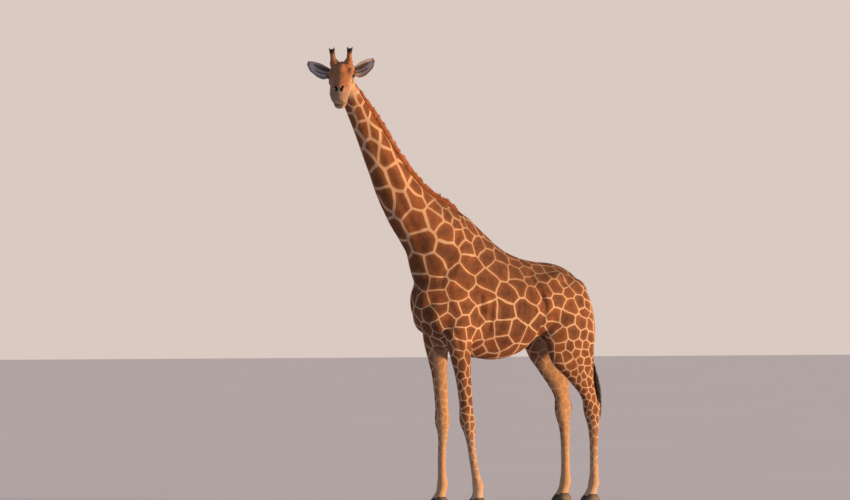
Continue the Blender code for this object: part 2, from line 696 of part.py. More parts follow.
def main():
    for old in list(bpy.data.objects):
        bpy.data.objects.remove(old)
    legs = leg_rows()
    whole = whole_flesh(legs)
    flesh = part_flesh(copy_of(whole, "flesh_to_part"), legs)
    sides = (("left", 1), ("right", -1))
    eyes = [eyeball(f"eye_{word}", side) for word, side in sides]
    flesh["head"] = clear_of(flesh["head"], *eyes)
    ossicones = [clear_of(ossicone(f"ossicone_{word}", side), whole) for word, side in sides]
    ears = [clear_of(ear_shell(f"ear_{word}", side), whole) for word, side in sides]
    mane = clear_of(mane_fin(), whole)
    tuft = clear_of(limb_loft("tail_tuft", TUFT_SECTIONS, steps=2, sides=12), flesh["tail"])
    bpy.data.objects.remove(whole)
    pieces = [*flesh.values(), *eyes, *ossicones, *ears, mane, tuft, *hooves(legs)]
    stand_at_origin(pieces)
    group = bpy.data.collections.new("giraffe")
    bpy.context.scene.collection.children.link(group)
    for piece in pieces:
        bpy.context.scene.collection.objects.unlink(piece)
        group.objects.link(piece)
        piece.data.materials.clear()
        piece.data.materials.append(material(finish_of(piece.name)))
        piece.data.shade_smooth()
        piece.data.set_sharp_from_angle(angle=math.radians(50))


main()
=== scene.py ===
"""Looks of a standing giraffe cow: one skin with her coat, mane, tail hair, eyes and hooves.

Metres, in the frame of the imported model. Body places are given as forward, left, up and head
places as along (nape to lips), left, up, in the two frames that BODY and HEAD hold.
"""

import math

import bmesh
import bpy
import numpy as np
from mathutils import Matrix, Vector
from mathutils.bvhtree import BVHTree


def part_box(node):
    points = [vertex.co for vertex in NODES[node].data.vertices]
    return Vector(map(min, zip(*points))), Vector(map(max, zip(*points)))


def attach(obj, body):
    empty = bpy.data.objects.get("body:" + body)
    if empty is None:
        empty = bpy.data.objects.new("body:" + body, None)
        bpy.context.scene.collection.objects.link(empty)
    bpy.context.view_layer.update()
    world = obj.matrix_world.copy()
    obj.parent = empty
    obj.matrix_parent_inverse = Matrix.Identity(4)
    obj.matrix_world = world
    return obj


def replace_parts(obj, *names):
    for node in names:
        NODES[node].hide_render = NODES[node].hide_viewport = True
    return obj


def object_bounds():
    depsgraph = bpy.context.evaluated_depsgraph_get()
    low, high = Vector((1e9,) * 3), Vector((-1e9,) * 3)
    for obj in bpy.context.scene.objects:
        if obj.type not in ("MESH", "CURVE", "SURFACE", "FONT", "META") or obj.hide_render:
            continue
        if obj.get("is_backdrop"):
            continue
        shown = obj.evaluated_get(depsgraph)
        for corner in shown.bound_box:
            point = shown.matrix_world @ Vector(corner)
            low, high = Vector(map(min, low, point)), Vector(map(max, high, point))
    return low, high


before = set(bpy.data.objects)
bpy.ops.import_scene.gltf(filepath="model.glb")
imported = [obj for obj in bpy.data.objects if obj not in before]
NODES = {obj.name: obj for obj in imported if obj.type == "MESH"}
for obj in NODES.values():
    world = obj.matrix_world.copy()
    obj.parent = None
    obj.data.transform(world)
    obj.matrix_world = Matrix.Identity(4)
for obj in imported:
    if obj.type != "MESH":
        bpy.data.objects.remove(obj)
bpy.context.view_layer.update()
SIDES = (("left", 1.0), ("right", -1.0))

# ---- Driving sizes ------------------------------------------------------------------------------
HEAD_TURN, HEAD_PITCH, HEAD_ROLL = math.radians(56.2), math.radians(-28.8), math.radians(2.8)
HEAD_JOINT = (2.003, 0.046, 4.044)  # where skull meets neck, in the body's frame
EYE_PLACE = (0.196, 0.103, 0.022)  # in the head's frame
EYE_RADIUS = 0.0235
LID_RADIUS = 0.0262  # of the edges of the lids, round the middle of the eye
BODY_COAT, HEAD_COAT = 0.0048, 0.0026  # depth of the coat over the skin
BODY_VOXEL, FLESH_VOXEL, HEAD_VOXEL = 0.0080, 0.0042, 0.0024  # FLESH_VOXEL: head before its ears
SKIN_TRIANGLES = 192_000
HEAD_SHARE = 0.46  # of the skin's triangles


# ---- Frames -------------------------------------------------------------------------------------
class Axes:
    """A turned frame. Its coordinates are forward (or along), left and up, as array columns."""

    def __init__(self, origin, forward, left, up):
        self.origin = np.array(origin, float)
        self.turn = np.array([forward, left, up], float)

    def inside(self, points):
        """Scene points in this frame."""
        return (np.asarray(points) - self.origin) @ self.turn.T

    def scene(self, places):
        """Places of this frame in the scene."""
        return np.asarray(places, float) @ self.turn + self.origin

    def direction(self, places):
        return np.asarray(places, float) @ self.turn


def middle_of(node):
    low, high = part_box(node)
    return np.array((low + high) / 2)


def head_axes():
    turned = Matrix.Rotation(math.pi + HEAD_TURN, 3, "Z")
    turned = turned @ Matrix.Rotation(HEAD_PITCH, 3, "X") @ Matrix.Rotation(HEAD_ROLL, 3, "Y")
    left, along, up = (np.array(turned.col[i]) for i in range(3))
    eyes = (middle_of("eye_left") + middle_of("eye_right")) / 2
    return Axes(eyes - along * EYE_PLACE[0] - up * EYE_PLACE[2], along, -left, up)


HEAD = head_axes()
FORWARD, LEFT, UP = (0.0, -1.0, 0.0), (1.0, 0.0, 0.0), (0.0, 0.0, 1.0)
BODY = Axes(HEAD.origin - np.array(HEAD_JOINT) @ np.array([FORWARD, LEFT, UP]), FORWARD, LEFT, UP)


# ---- Numbers ------------------------------------------------------------------------------------
def smooth(low, high, value):
    """0 below low and 1 above high, with a smooth ramp between them. Low may be the higher."""
    t = np.clip((value - low) / (high - low), 0.0, 1.0)
    return t * t * (3 - 2 * t)


def bell(value, width):
    """1 at nought, falling off as a Gaussian of that width."""
    return np.exp(-((value / width) ** 2))


def mirrored(place, side):
    """A place or direction given for the left side, for that side: 1 is left and -1 right."""
    return np.array(place) * np.array([1.0, side, 1.0])


def folded(places):
    """Head places brought over to the left side, as the two sides of the face are alike."""
    return places * np.array([1.0, 0.0, 1.0]) + np.abs(places) * np.array([0.0, 1.0, 0.0])


def near_eye(head):
    """Distance of head places from the middle of the eye on their side."""
    return np.linalg.norm(folded(head) - EYE_PLACE, axis=1)


def unit(vectors):
    return vectors / np.maximum(np.linalg.norm(vectors, axis=-1, keepdims=True), 1e-12)


def curve_through(rows, count):
    """Catmull-Rom through the rows, read at evenly spaced parameters."""
    table = np.array(rows, float)
    padded = np.vstack([2 * table[0] - table[1], table, 2 * table[-1] - table[-2]])
    place = np.linspace(0, len(table) - 1, count)
    index = np.minimum(place.astype(int), len(table) - 2)
    t = (place - index)[:, None]
    a, b, c, d = (padded[index + k] for k in range(4))
    square, cube = 2 * a - 5 * b + 4 * c - d, 3 * b - a - 3 * c + d
    return 0.5 * (2 * b + (c - a) * t + square * t**2 + cube * t**3)


def wander(points, size, seed, terms=9):
    """Smooth pseudo-random values from -1 to 1: a sum of sine waves in random directions."""
    random = np.random.default_rng(seed)
    waves = unit(random.normal(size=(terms, 3))) * random.uniform(0.6, 1.5, (terms, 1)) * 2 * math.pi / size
    phases = random.uniform(0, 2 * math.pi, terms)
    return np.sin(points @ waves.T + phases).sum(axis=1) / math.sqrt(terms)


def polyline_distance(flat, line):
    """Distance of points from a polyline, and how far along it each lies, from 0 to 1."""
    line = np.array(line, float)
    best, share = np.full(len(flat), np.inf), np.zeros(len(flat))
    for number, (start, end) in enumerate(zip(line, line[1:])):
        span = end - start
        t = np.clip((flat - start) @ span / (span @ span), 0, 1)
        away = np.linalg.norm(flat - start - t[:, None] * span, axis=1)
        nearer = away < best
        best = np.where(nearer, away, best)
        share = np.where(nearer, (number + t) / (len(line) - 1), share)
    return best, share


# A line down from the ossicones and along the skull to the lips.
SKULL_LINE = [(-0.02, 0.0, 0.16), (0.03, 0.0, 0.0), (0.55, 0.0, -0.05)]


def headness(head):
    """1 on the head with its ears and ossicones and 0 on the neck: by distance from the skull's
    line, in which distance to the side counts for less."""
    away, _ = polyline_distance(head * (1.0, 0.55, 1.0), SKULL_LINE)
    return smooth(0.26, 0.18, away)


def around(turn, first, second):
    """Unit vectors at turns in the plane of two unit vectors square to each other."""
    return np.cos(turn)[..., None] * first + np.sin(turn)[..., None] * second


# ---- Meshes -------------------------------------------------------------------------------------
def linked(name, mesh):
    made = bpy.data.objects.new(name, mesh)
    bpy.context.scene.collection.objects.link(made)
    return made


def mesh_of(name, points, faces):
    """A mesh from an array of points and arrays of faces, each with faces of one size."""
    mesh = bpy.data.meshes.new(name)
    mesh.vertices.add(len(points))
    mesh.vertices.foreach_set("co", np.ascontiguousarray(points, np.float32).ravel())
    faces = [np.asarray(block, np.int32) for block in faces if len(block)]
    sizes = np.concatenate([np.full(len(block), block.shape[1], np.int32) for block in faces])
    corners = np.concatenate([block.ravel() for block in faces])
    mesh.loops.add(len(corners))
    mesh.loops.foreach_set("vertex_index", corners)
    mesh.polygons.add(len(sizes))
    mesh.polygons.foreach_set("loop_start", np.concatenate([[0], np.cumsum(sizes)[:-1]]).astype(np.int32))
    mesh.update(calc_edges=True)
    mesh.shade_smooth()
    return mesh


def grid_faces(rows, columns, closed):
    """Quads of a grid of points, row by row, joined round if closed."""
    r, c = np.meshgrid(np.arange(rows - 1), np.arange(columns if closed else columns - 1), indexing="ij")
    here, after = r * columns + c, r * columns + (c + 1) % columns
    return np.stack([here, after, after + columns, here + columns], axis=-1).reshape(-1, 4)


def tube(name, rings):
    """A closed surface through rings of points (rings, sides, 3), with a fan at each end."""
    count, sides, _ = rings.shape
    points = np.vstack([rings.reshape(-1, 3), rings[0].mean(axis=0), rings[-1].mean(axis=0)])
    turn = np.arange(sides)
    first = np.stack([turn, np.roll(turn, -1), np.full(sides, count * sides)], axis=1)[:, ::-1]
    last = np.stack([turn, np.roll(turn, -1), np.full(sides, 1)], axis=1) + (count - 1) * sides
    last[:, 2] = count * sides + 1
    made = linked(name, mesh_of(name, points, [grid_faces(count, sides, True), first, last]))
    return facing_out(made)


def reshaped(piece, change):
    """The piece after its mesh has been taken through a change made on an editable form."""
    form = bmesh.new()
    form.from_mesh(piece.data)
    change(form)
    form.to_mesh(piece.data)
    form.free()
    return piece


def facing_out(piece):
    return reshaped(piece, lambda form: bmesh.ops.recalc_face_normals(form, faces=form.faces))


def vertex_rows(mesh, field):
    found = np.empty(len(mesh.vertices) * 3, np.float32)
    mesh.vertices.foreach_get(field, found)
    return found.reshape(-1, 3).astype(float)


def positions(mesh):
    return vertex_rows(mesh, "co")


def normals(mesh):
    return vertex_rows(mesh, "normal")


def corner_row(mesh):
    """Vertex numbers of all face corners in one row."""
    found = np.empty(len(mesh.loops), np.int32)
    mesh.loops.foreach_get("vertex_index", found)
    return found


def corners_of(mesh):
    """Vertex numbers of the triangles of a mesh, a row of three for each."""
    return corner_row(mesh).reshape(-1, 3)


def move_to(mesh, points):
    mesh.vertices.foreach_set("co", np.ascontiguousarray(points, np.float32).ravel())
    mesh.update()


def settled(source, name):
    """The evaluated mesh of source as a new object; source is removed."""
    graph = bpy.context.evaluated_depsgraph_get()
    mesh = bpy.data.meshes.new_from_object(source.evaluated_get(graph))
    bpy.data.objects.remove(source)
    return linked(name, mesh)


def melted(name, pieces, voxel):
    """The pieces, which are used up, melted into one surface of small quads."""
    form = bmesh.new()
    for piece in pieces:
        form.from_mesh(piece.data)
        bpy.data.objects.remove(piece)
    mesh = bpy.data.meshes.new(name)
    form.to_mesh(mesh)
    form.free()
    whole = linked(name, mesh)
    remesh = whole.modifiers.new("melt", "REMESH")
    remesh.mode = "VOXEL"
    remesh.voxel_size = voxel
    return settled(whole, name)


def copy_of_node(node):
    """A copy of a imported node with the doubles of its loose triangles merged."""
    form = bmesh.new()
    form.from_mesh(NODES[node].data)
    bmesh.ops.remove_doubles(form, verts=form.verts, dist=1e-5)
    mesh = bpy.data.meshes.new(node)
    form.to_mesh(mesh)
    form.free()
    return linked(f"{node}_copy", mesh)


def halved(piece, point, normal, capped):
    """What lies behind a plane, with its cut closed by a cap or left open."""
    def cut(form):
        whole = [*form.verts, *form.edges, *form.faces]
        made = bmesh.ops.bisect_plane(form, geom=whole, plane_co=point, plane_no=normal, clear_outer=True)
        if capped:
            edges = [item for item in made["geom_cut"] if isinstance(item, bmesh.types.BMEdge)]
            bmesh.ops.contextual_create(form, geom=edges)

    return reshaped(piece, cut)


def edge_pairs(mesh):
    found = np.empty(len(mesh.edges) * 2, np.int32)
    mesh.edges.foreach_get("vertices", found)
    return found.reshape(-1, 2)


def smoothed(values, edges, rounds, share=0.5):
    """Values at vertices moved towards their neighbours' mean, by a share of the way each round."""
    first, second = edges.T
    count = len(values)
    links = (np.bincount(first, minlength=count) + np.bincount(second, minlength=count))[:, None]
    for _ in range(rounds):
        total = np.stack([
            np.bincount(first, column[second], count) + np.bincount(second, column[first], count)
            for column in values.T
        ], axis=1)
        values = values + share * (total / links - values)
    return values


def evened(points, edges, rounds):
    """Smoothing that keeps broad forms: what it took away is smoothed too and given back."""
    calm = smoothed(points, edges, rounds)
    return calm + smoothed(points - calm, edges, rounds)


def thinned(piece, triangles):
    thin = piece.modifiers.new("thin", "DECIMATE")
    thin.ratio = triangles / sum(len(face.vertices) - 2 for face in piece.data.polygons)
    return settled(piece, piece.name)


# ---- Parts of the head that the skin takes in ---------------------------------------------------
# Root and tip of the left and of the right ear, both given for the left side of the head.
EAR_ENDS = {
    1.0: ((0.000, 0.074, -0.026), (-0.030, 0.292, 0.063)),
    -1.0: ((0.000, 0.087, -0.026), (-0.030, 0.322, 0.063)),
}
EAR_FACING = (1.0, 0.12, -0.05)
EAR_DISH = 0.020  # how far the bottom of the ear's hollow lies behind its root
EAR_WALL = 0.0052
# Half widths above and below the ear's middle line, from root to tip.
EAR_HALVES = [
    (0.021, 0.023),
    (0.026, 0.057),
    (0.037, 0.078),
    (0.046, 0.083),
    (0.043, 0.074),
    (0.034, 0.058),
    (0.012, 0.016),
]


def ear_frame(side):
    """Root, vector to the tip, and unit vectors down across the ear and out of its hollow."""
    root, tip, facing = (mirrored(place, side) for place in (*EAR_ENDS[side], EAR_FACING))
    along = tip - root
    ahead = unit(along)
    facing = unit(facing - ahead * (facing @ ahead))
    return root, along, unit(np.cross(ahead, facing)) * side, facing


def ear_section(share):
    """Half widths above and below at shares of the ear's length, and half the turn of its arc."""
    halves = curve_through(EAR_HALVES, 61)
    reading = np.linspace(0, 1, len(halves))
    above, below = (np.interp(share, reading, halves[:, k]) for k in (0, 1))
    return above, below, np.radians(48 + 110 * (1 - share) ** 3)


def ear_point(side, share, part):
    """A point of the ear's middle surface: share runs from root to tip, part from -1 at its upper
    edge to 1 at its lower. Each section is an arc, nearly a whole turn at the root."""
    root, along, down, facing = ear_frame(side)
    above, below, roll = ear_section(share)
    radius = np.where(part > 0, below, above) / np.sin(np.minimum(roll, math.pi / 2))
    aside = radius * np.sin(part * roll)
    depth = radius * (1 - np.cos(part * roll)) - EAR_DISH
    back = 0.012 * share**2 * (1 - part**2)  # the tip bends back a little
    place = root + along * share[..., None] + down * aside[..., None]
    return place + facing * (depth - back)[..., None]


def ear_shell(name, side):
    share, part = np.meshgrid(np.linspace(0, 1, 46), np.linspace(-1, 1, 37), indexing="ij")
    points = HEAD.scene(ear_point(side, share, part).reshape(-1, 3))
    ear = linked(f"{name}_sheet", mesh_of(name, points, [grid_faces(*share.shape, False)]))
    wall = ear.modifiers.new("wall", "SOLIDIFY")
    wall.thickness = EAR_WALL
    wall.offset = 0.0
    wall.use_even_offset = False
    return facing_out(settled(ear, name))


OSSICONE_BASE, OSSICONE_LEAN = (0.074, 0.070, 0.088), (-0.49, 0.085, 0.866)
OSSICONE_HEIGHT = 0.160  # to the tips of its hair
# Distance up as a share of that height, and radius of the skin-covered bone.
OSSICONE_SECTIONS = [
    (-0.34, 0.020),
    (-0.16, 0.033),
    (0.00, 0.036),
    (0.12, 0.0315),
    (0.30, 0.0255),
    (0.50, 0.0225),
    (0.68, 0.0215),
    (0.76, 0.0225),
    (0.82, 0.0205),
    (0.86, 0.0130),
    (0.87, 0.0040),
]
# The skin takes in the foot of each ossicone and ends just outside the part that goes on.
OSSICONE_STUB = [(0.22, 0.0284), (0.30, 0.0262), (0.33, 0.0240), (0.35, 0.0120)]
OSSICONE_FOOT = [(0.14, 0.0180), (0.20, 0.0245)]
OSSICONE_BLACK = (0.56, 0.70)  # the hair turns black between these shares of the height


def ossicone_axis(side):
    """Middle of the foot, and unit vectors up the leaning axis and two square to it."""
    lean = unit(mirrored(OSSICONE_LEAN, side))
    first = unit(np.cross(lean, (0.0, 1.0, 0.0)))
    return mirrored(OSSICONE_BASE, side), lean, first, np.cross(lean, first)


def ossicone(name, side, sections):
    """A stubby cone of skin-covered bone, turned round its leaning axis, with a blunt knob."""
    base, lean, first, second = ossicone_axis(side)
    sections = curve_through(sections, 40)
    turn = np.linspace(0, 2 * math.pi, 40, endpoint=False)
    round_it = around(turn, first, second)
    rings = base + lean * (OSSICONE_HEIGHT * sections[:, :1, None]) + round_it * sections[:, 1:, None]
    return tube(name, HEAD.scene(rings.reshape(-1, 3)).reshape(rings.shape))


GAZE = (0.30, 0.95, 0.06)  # outwards along the middle of the eye's opening
OPENING = (51.0, 34.0, 25.0)  # half angles of the opening: to its corners, up and down
OPENING_TILT = 8.0  # degrees by which the front corner is the lower one


def eye_frame(side):
    """Middle of the eye, and unit vectors out of it, towards the front corner and up."""
    out = unit(mirrored(GAZE, side))
    tilt = math.radians(OPENING_TILT)
    front = np.array([math.cos(tilt), 0.0, -math.sin(tilt)])
    front = unit(front - out * (front @ out))
    up = np.cross(out, front)
    return mirrored(EYE_PLACE, side), out, front, up * np.sign(up[2])


def on_eye(side, across, rise, radius):
    """A point at angles in degrees towards the front corner and up, on a ball round the eye."""
    middle, out, front, up = eye_frame(side)
    angle = np.radians(np.hypot(across, rise))
    aside = around(np.arctan2(rise, across), front, up)
    return middle + radius[..., None] * (np.cos(angle)[..., None] * out + np.sin(angle)[..., None] * aside)


def lid_margin(turn):
    """The almond of the lids' edges as angles across and up, for a turn from the front corner."""
    corner, above, below = OPENING
    sine = np.sin(turn)
    rise = np.where(sine > 0, above, below) * sine * np.abs(sine) ** 0.25
    return corner * np.cos(turn), rise


# The section of both lids: how far out from the opening, as a share of the way to LID_REACH
# degrees, and the radius from the middle of the eye.
LID_SECTION = [(1.0, 0.0232), (0.5, 0.0232), (0.0, 0.0234), (0.0, LID_RADIUS), (0.12, 0.0274),
               (0.5, 0.0272), (1.0, 0.0272)]
LID_REACH = 100.0
UPPER_LID_EXTRA = 0.0012  # by which the upper lid's outside is thicker


def lids(name, side):
    """Both lids as one ring of skin: its section is a loop that runs out under the ball of the
    eye's surface and back over it, and it narrows to the almond opening."""
    turn = np.linspace(0, 2 * math.pi, 96, endpoint=False)
    across, rise = lid_margin(turn)
    reach = np.hypot(across, rise)
    upper = smooth(-0.3, 0.6, np.sin(turn))
    rows = []
    for out, radius in LID_SECTION:
        scale = (reach * (1 - out) + LID_REACH * out) / reach
        thick = radius + (UPPER_LID_EXTRA * upper if radius > EYE_RADIUS else 0.0)
        rows.append(on_eye(side, across * scale, rise * scale, np.full_like(turn, 1.0) * thick))
    points = np.array(rows)
    faces = grid_faces(len(rows) + 1, len(turn), True) % (len(rows) * len(turn))
    return facing_out(linked(name, mesh_of(name, HEAD.scene(points.reshape(-1, 3)), [faces])))


# ---- Relief -------------------------------------------------------------------------------------
# Each stroke runs along points of the side view and is followed by its half width and its height
# above the skin, or depth below it if negative.
BODY_STROKES = [
    ([(1.90, 3.74), (1.66, 3.28), (1.42, 2.84), (1.22, 2.46), (1.10, 2.20)], 0.034, -0.0060),  # jugular
    ([(1.80, 3.78), (1.52, 3.30), (1.25, 2.92), (1.00, 2.70)], 0.030, -0.0030),  # under the crest
    ([(1.72, 3.46), (1.45, 3.02), (1.18, 2.70), (1.00, 2.44)], 0.040, 0.0030),  # neck muscle
    ([(0.78, 2.66), (0.93, 2.34), (1.05, 2.02)], 0.034, -0.0090),  # front of the shoulder
    ([(0.72, 2.58), (0.84, 2.28), (0.95, 2.00)], 0.026, 0.0045),  # ridge of the shoulder blade
    ([(0.62, 2.52), (0.66, 2.24), (0.71, 2.02)], 0.030, -0.0040),  # back of the shoulder blade
    ([(0.93, 1.92), (0.80, 1.84), (0.72, 1.96)], 0.026, -0.0050),  # above the elbow muscles
    ([(0.63, 2.02), (0.645, 1.84), (0.69, 1.66)], 0.022, -0.0130),  # behind the elbow muscles
    ([(0.575, 1.99), (0.590, 1.80), (0.610, 1.62)], 0.018, 0.0050),  # fold of skin
    ([(0.525, 1.97), (0.540, 1.78), (0.550, 1.61)], 0.018, -0.0090),
    ([(0.470, 1.93), (0.480, 1.76), (0.480, 1.62)], 0.020, 0.0030),
    ([(0.430, 1.91), (0.435, 1.77), (0.430, 1.66)], 0.018, -0.0030),
    ([(0.04, 2.26), (0.03, 2.14), (0.00, 2.02), (-0.03, 1.92)], 0.040, -0.0190),  # hollow of the flank
    ([(-0.235, 2.155), (-0.215, 2.10)], 0.040, 0.0080),  # point of the hip
    # the fold of the flank
    ([(-0.01, 2.06), (-0.045, 1.92), (-0.055, 1.78), (-0.05, 1.66), (-0.03, 1.56)], 0.024, -0.0210),
    ([(0.06, 2.02), (0.03, 1.84), (0.03, 1.66)], 0.026, 0.0045),  # back of the barrel
    ([(-0.12, 1.98), (-0.13, 1.80), (-0.12, 1.62)], 0.034, 0.0050),  # front of the thigh
    ([(-0.44, 2.02), (-0.46, 1.76), (-0.49, 1.50), (-0.53, 1.34)], 0.030, -0.0075),  # between hams
    ([(-0.24, 1.55), (-0.30, 1.44), (-0.40, 1.34)], 0.030, -0.0045),  # under the stifle
    ([(-0.30, 1.66), (-0.26, 1.58)], 0.040, 0.0050),  # stifle
    ([(0.98, 1.72), (0.90, 1.58), (0.86, 1.44)], 0.024, -0.0070),  # forearm muscles
    ([(0.80, 1.60), (0.79, 1.38), (0.775, 1.15)], 0.020, -0.0035),
]
RIBS = (-0.02, 0.40, 0.062)  # from and to along the flank, and their pitch


def strokes(flat, table):
    """Sum of the strokes at 2-D points: each has a Gaussian section and fades at its ends."""
    total = np.zeros(len(flat))
    for line, width, height in table:
        reach = np.ptp(line, axis=0) / 2 + 3 * width
        near = np.all(np.abs(flat - np.mean(line, axis=0)) < reach, axis=1)
        away, share = polyline_distance(flat[near], line)
        fade = smooth(0.0, 0.18, share) * smooth(1.0, 0.82, share) if len(line) > 2 else 1.0
        total[near] += height * bell(away, width) * fade
    return total


def relief_of_body(points, facing):
    """Folds, bony points and tendons, strongest where the skin faces sideways."""
    place, sideways = BODY.inside(points), np.abs(BODY.direction(np.eye(3)) @ facing.T)[1]
    forward, _, up = place.T
    sideways = smooth(0.15, 0.75, sideways)
    high = strokes(place[:, [0, 2]], BODY_STROKES) * smooth(1.05, 1.25, up)
    start, stop, pitch = RIBS
    rib = np.cos(2 * math.pi * (forward - start + 0.18 * (up - 1.9)) / pitch)
    rib *= smooth(start - 0.04, start + 0.05, forward) * smooth(stop + 0.04, stop - 0.05, forward)
    high += 0.0010 * rib * smooth(1.58, 1.74, up) * smooth(2.14, 2.0, up)
    high += 0.0016 * wander(points, 0.30, 3) + 0.0006 * wander(points, 0.09, 4)
    return points + facing * (high * sideways)[:, None]


NOSTRIL = [(0.523, 0.020, 0.024), (0.509, 0.022, 0.034), (0.493, 0.027, 0.041), (0.475, 0.035, 0.044)]
NOSTRIL_DEPTH = (-0.020, -0.001, -0.010)  # from the skin to the floor of the hollow
MOUTH = [(0.385, -0.062), (0.430, -0.069), (0.500, -0.078), (0.560, -0.087), (0.620, -0.090)]
# Strokes on both sides of the head, in its side view.
HEAD_STROKES = [
    ([(0.270, 0.030), (0.350, 0.018), (0.440, 0.004)], 0.020, -0.0030),  # beside the nose bone
    ([(0.215, -0.020), (0.300, -0.034), (0.380, -0.040)], 0.012, 0.0022),  # cheek ridge
    ([(0.215, -0.046), (0.300, -0.062), (0.370, -0.064)], 0.012, -0.0024),  # under the cheek ridge
    ([(0.185, -0.050), (0.200, -0.090), (0.180, -0.130)], 0.010, -0.0026),  # front of the jaw muscle
    ([(0.075, -0.010), (0.060, -0.060), (0.075, -0.120)], 0.012, -0.0024),  # behind the jaw
    ([(0.250, -0.012), (0.290, -0.052), (0.315, -0.090), (0.300, -0.125)], 0.0035, 0.0012),  # vein
    ([(0.235, 0.008), (0.262, -0.004), (0.290, -0.012)], 0.0050, -0.0018),  # tear furrow
    ([(0.398, -0.052), (0.388, -0.064), (0.392, -0.080)], 0.0035, -0.0016),  # corner of the mouth
    ([(0.384, -0.048), (0.373, -0.064), (0.378, -0.086)], 0.0040, -0.0013),
    ([(0.368, -0.046), (0.356, -0.062), (0.360, -0.086)], 0.0045, -0.0009),
    ([(0.552, -0.014), (0.520, -0.022), (0.480, -0.010)], 0.0055, -0.0028),  # under the nostril
    ([(0.566, -0.034), (0.528, -0.044), (0.470, -0.034)], 0.0060, -0.0024),
    ([(0.556, -0.060), (0.510, -0.060), (0.450, -0.050)], 0.0060, -0.0018),
    ([(0.456, 0.024), (0.470, 0.002), (0.474, -0.020)], 0.0060, -0.0026),  # behind the nostril
    ([(0.575, -0.112), (0.545, -0.116), (0.500, -0.108)], 0.0060, -0.0022),  # chin
]


def eye_relief(place):
    """Creases of the lids: rings round the line of sight, deeper above than below."""
    high = np.zeros(len(place))
    for side in (1.0, -1.0):
        middle, out, front, up = eye_frame(side)
        away = place - middle
        depth, across, rise = away @ out, away @ front, away @ up
        near = (depth > 0) & (np.linalg.norm(away, axis=1) < 0.07)
        ring = np.hypot(across * 0.88, rise)
        above = smooth(-0.2, 0.4, rise / np.maximum(ring, 1e-6))
        high += near * -0.0016 * bell(ring - 0.0265, 0.0022) * (0.35 + 0.65 * above)
        high += near * 0.0010 * bell(ring - 0.0310, 0.0028)
        high += near * -0.0010 * bell(ring - 0.0365, 0.0024) * (0.5 + 0.5 * above)
        high += near * -0.0007 * bell(ring - 0.0440, 0.0026) * (1 - above)
    return high


def relief_of_head(points, facing):
    """Mouth, lips, nostrils, lid creases and the folds of the face."""
    place = HEAD.inside(points)
    along, left, up = place.T
    outward = HEAD.inside(HEAD.origin + facing)
    beside = smooth(0.2, 0.7, np.abs(outward[:, 1]))
    face = smooth(0.06, 0.12, along)
    high = strokes(place[:, [0, 2]], HEAD_STROKES) * beside * smooth(0.13, 0.11, np.abs(left))
    high += eye_relief(place)
    level, lips = mouth_level(place)
    high += lips * (-0.0058 * bell(level, 0.0036) + 0.0024 * bell(level - 0.014, 0.010))
    high += lips * 0.0018 * bell(level + 0.013, 0.009)
    slit, rim = nostril_distance(folded(place), nostril_line(folded(place)))
    high += 0.0042 * bell(slit - 0.0160, 0.0055) * (0.35 + 0.65 * rim)
    hollow = -0.0190 * smooth(0.0120, 0.0066, slit)
    high += -0.0014 * bell(left, 0.0022) * smooth(0.575, 0.590, along) * smooth(-0.080, -0.060, up)
    high += face * (0.0006 * wander(points, 0.045, 8) + 0.0003 * wander(points, 0.016, 9))
    back = HEAD.direction((-0.75, 0.0, 0.0))
    return points + facing * (high + hollow * 0.6)[:, None] - back * hollow[:, None]


def mouth_level(place):
    """Height over the line of the mouth, which dips under the nose, and 1 along the lips."""
    along, left, up = place.T
    line = np.interp(along, *np.array(MOUTH).T)
    return up - line + 0.006 * bell(left, 0.022) * smooth(0.52, 0.58, along), smooth(0.384, 0.410, along)


def nostril_line(places):
    """The nostril's middle line brought onto the skin: the nearest of the skin's own points."""
    off = np.linalg.norm(places[:, None] - np.array(NOSTRIL), axis=2)
    return places[off.argmin(axis=0)]


def nostril_distance(places, line):
    """Distance from the middle line of the nostril, and 1 at its outer and back side."""
    away, _ = polyline_distance(places, line)
    outer = places[:, 1] - line[1, 1] + 0.5 * (places[:, 2] - line[1, 2])
    return away, smooth(-0.012, 0.012, outer)


# ---- Skin ---------------------------------------------------------------------------------------
def slices(nodes, top, bottom, count):
    """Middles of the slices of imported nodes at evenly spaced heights: a line through a limb."""
    points = np.vstack([positions(NODES[name].data) for name in nodes])
    line = []
    for level in np.linspace(top, bottom, count):
        slab = points[np.abs(points[:, 2] - level) < 0.05]
        line.append((slab.min(axis=0) + slab.max(axis=0)) / 2)
        line[-1][2] = level
    return np.array(line)


def tail_line():
    return slices(["tail"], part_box("tail")[1].z - 0.05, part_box("tail")[0].z + 0.05, 6)


COLLAR, COLLAR_UP = (1.800, 0.014, 3.660), (0.49, 0.06, 0.87)  # plane between body and head skin
COLLAR_GAP = 0.003  # between the two rims, before they are joined
NECK_FOOT = (1.700, 0.008, 3.480)  # the fine part of the neck ends here
FLESH = [name for name in NODES if name.split("_")[0] in ("trunk", "neck", "head", "leg")] + ["tail"]


def tail_share(points):
    """1 on the cord of the tail and 0 away from it."""
    return smooth(0.080, 0.045, polyline_distance(points, tail_line())[0])


def coat_depth(points):
    """Depth of the coat over the skin: less on legs and face, hardly any on ears and lids."""
    head, body = HEAD.inside(points), BODY.inside(points)
    depth = BODY_COAT * (0.55 + 0.45 * smooth(0.5, 1.3, body[:, 2]))
    near = headness(head)
    depth = depth + (HEAD_COAT - depth) * near
    depth = depth * (1 - 0.5 * tail_share(points))
    thin = smooth(0.040, 0.030, near_eye(head))
    thin = np.maximum(thin, smooth(0.110, 0.135, np.abs(head[:, 1])) * near)  # ears
    thin = np.maximum(thin, smooth(0.100, 0.125, head[:, 2]) * near)  # ossicones
    return depth * (1 - 0.92 * thin)


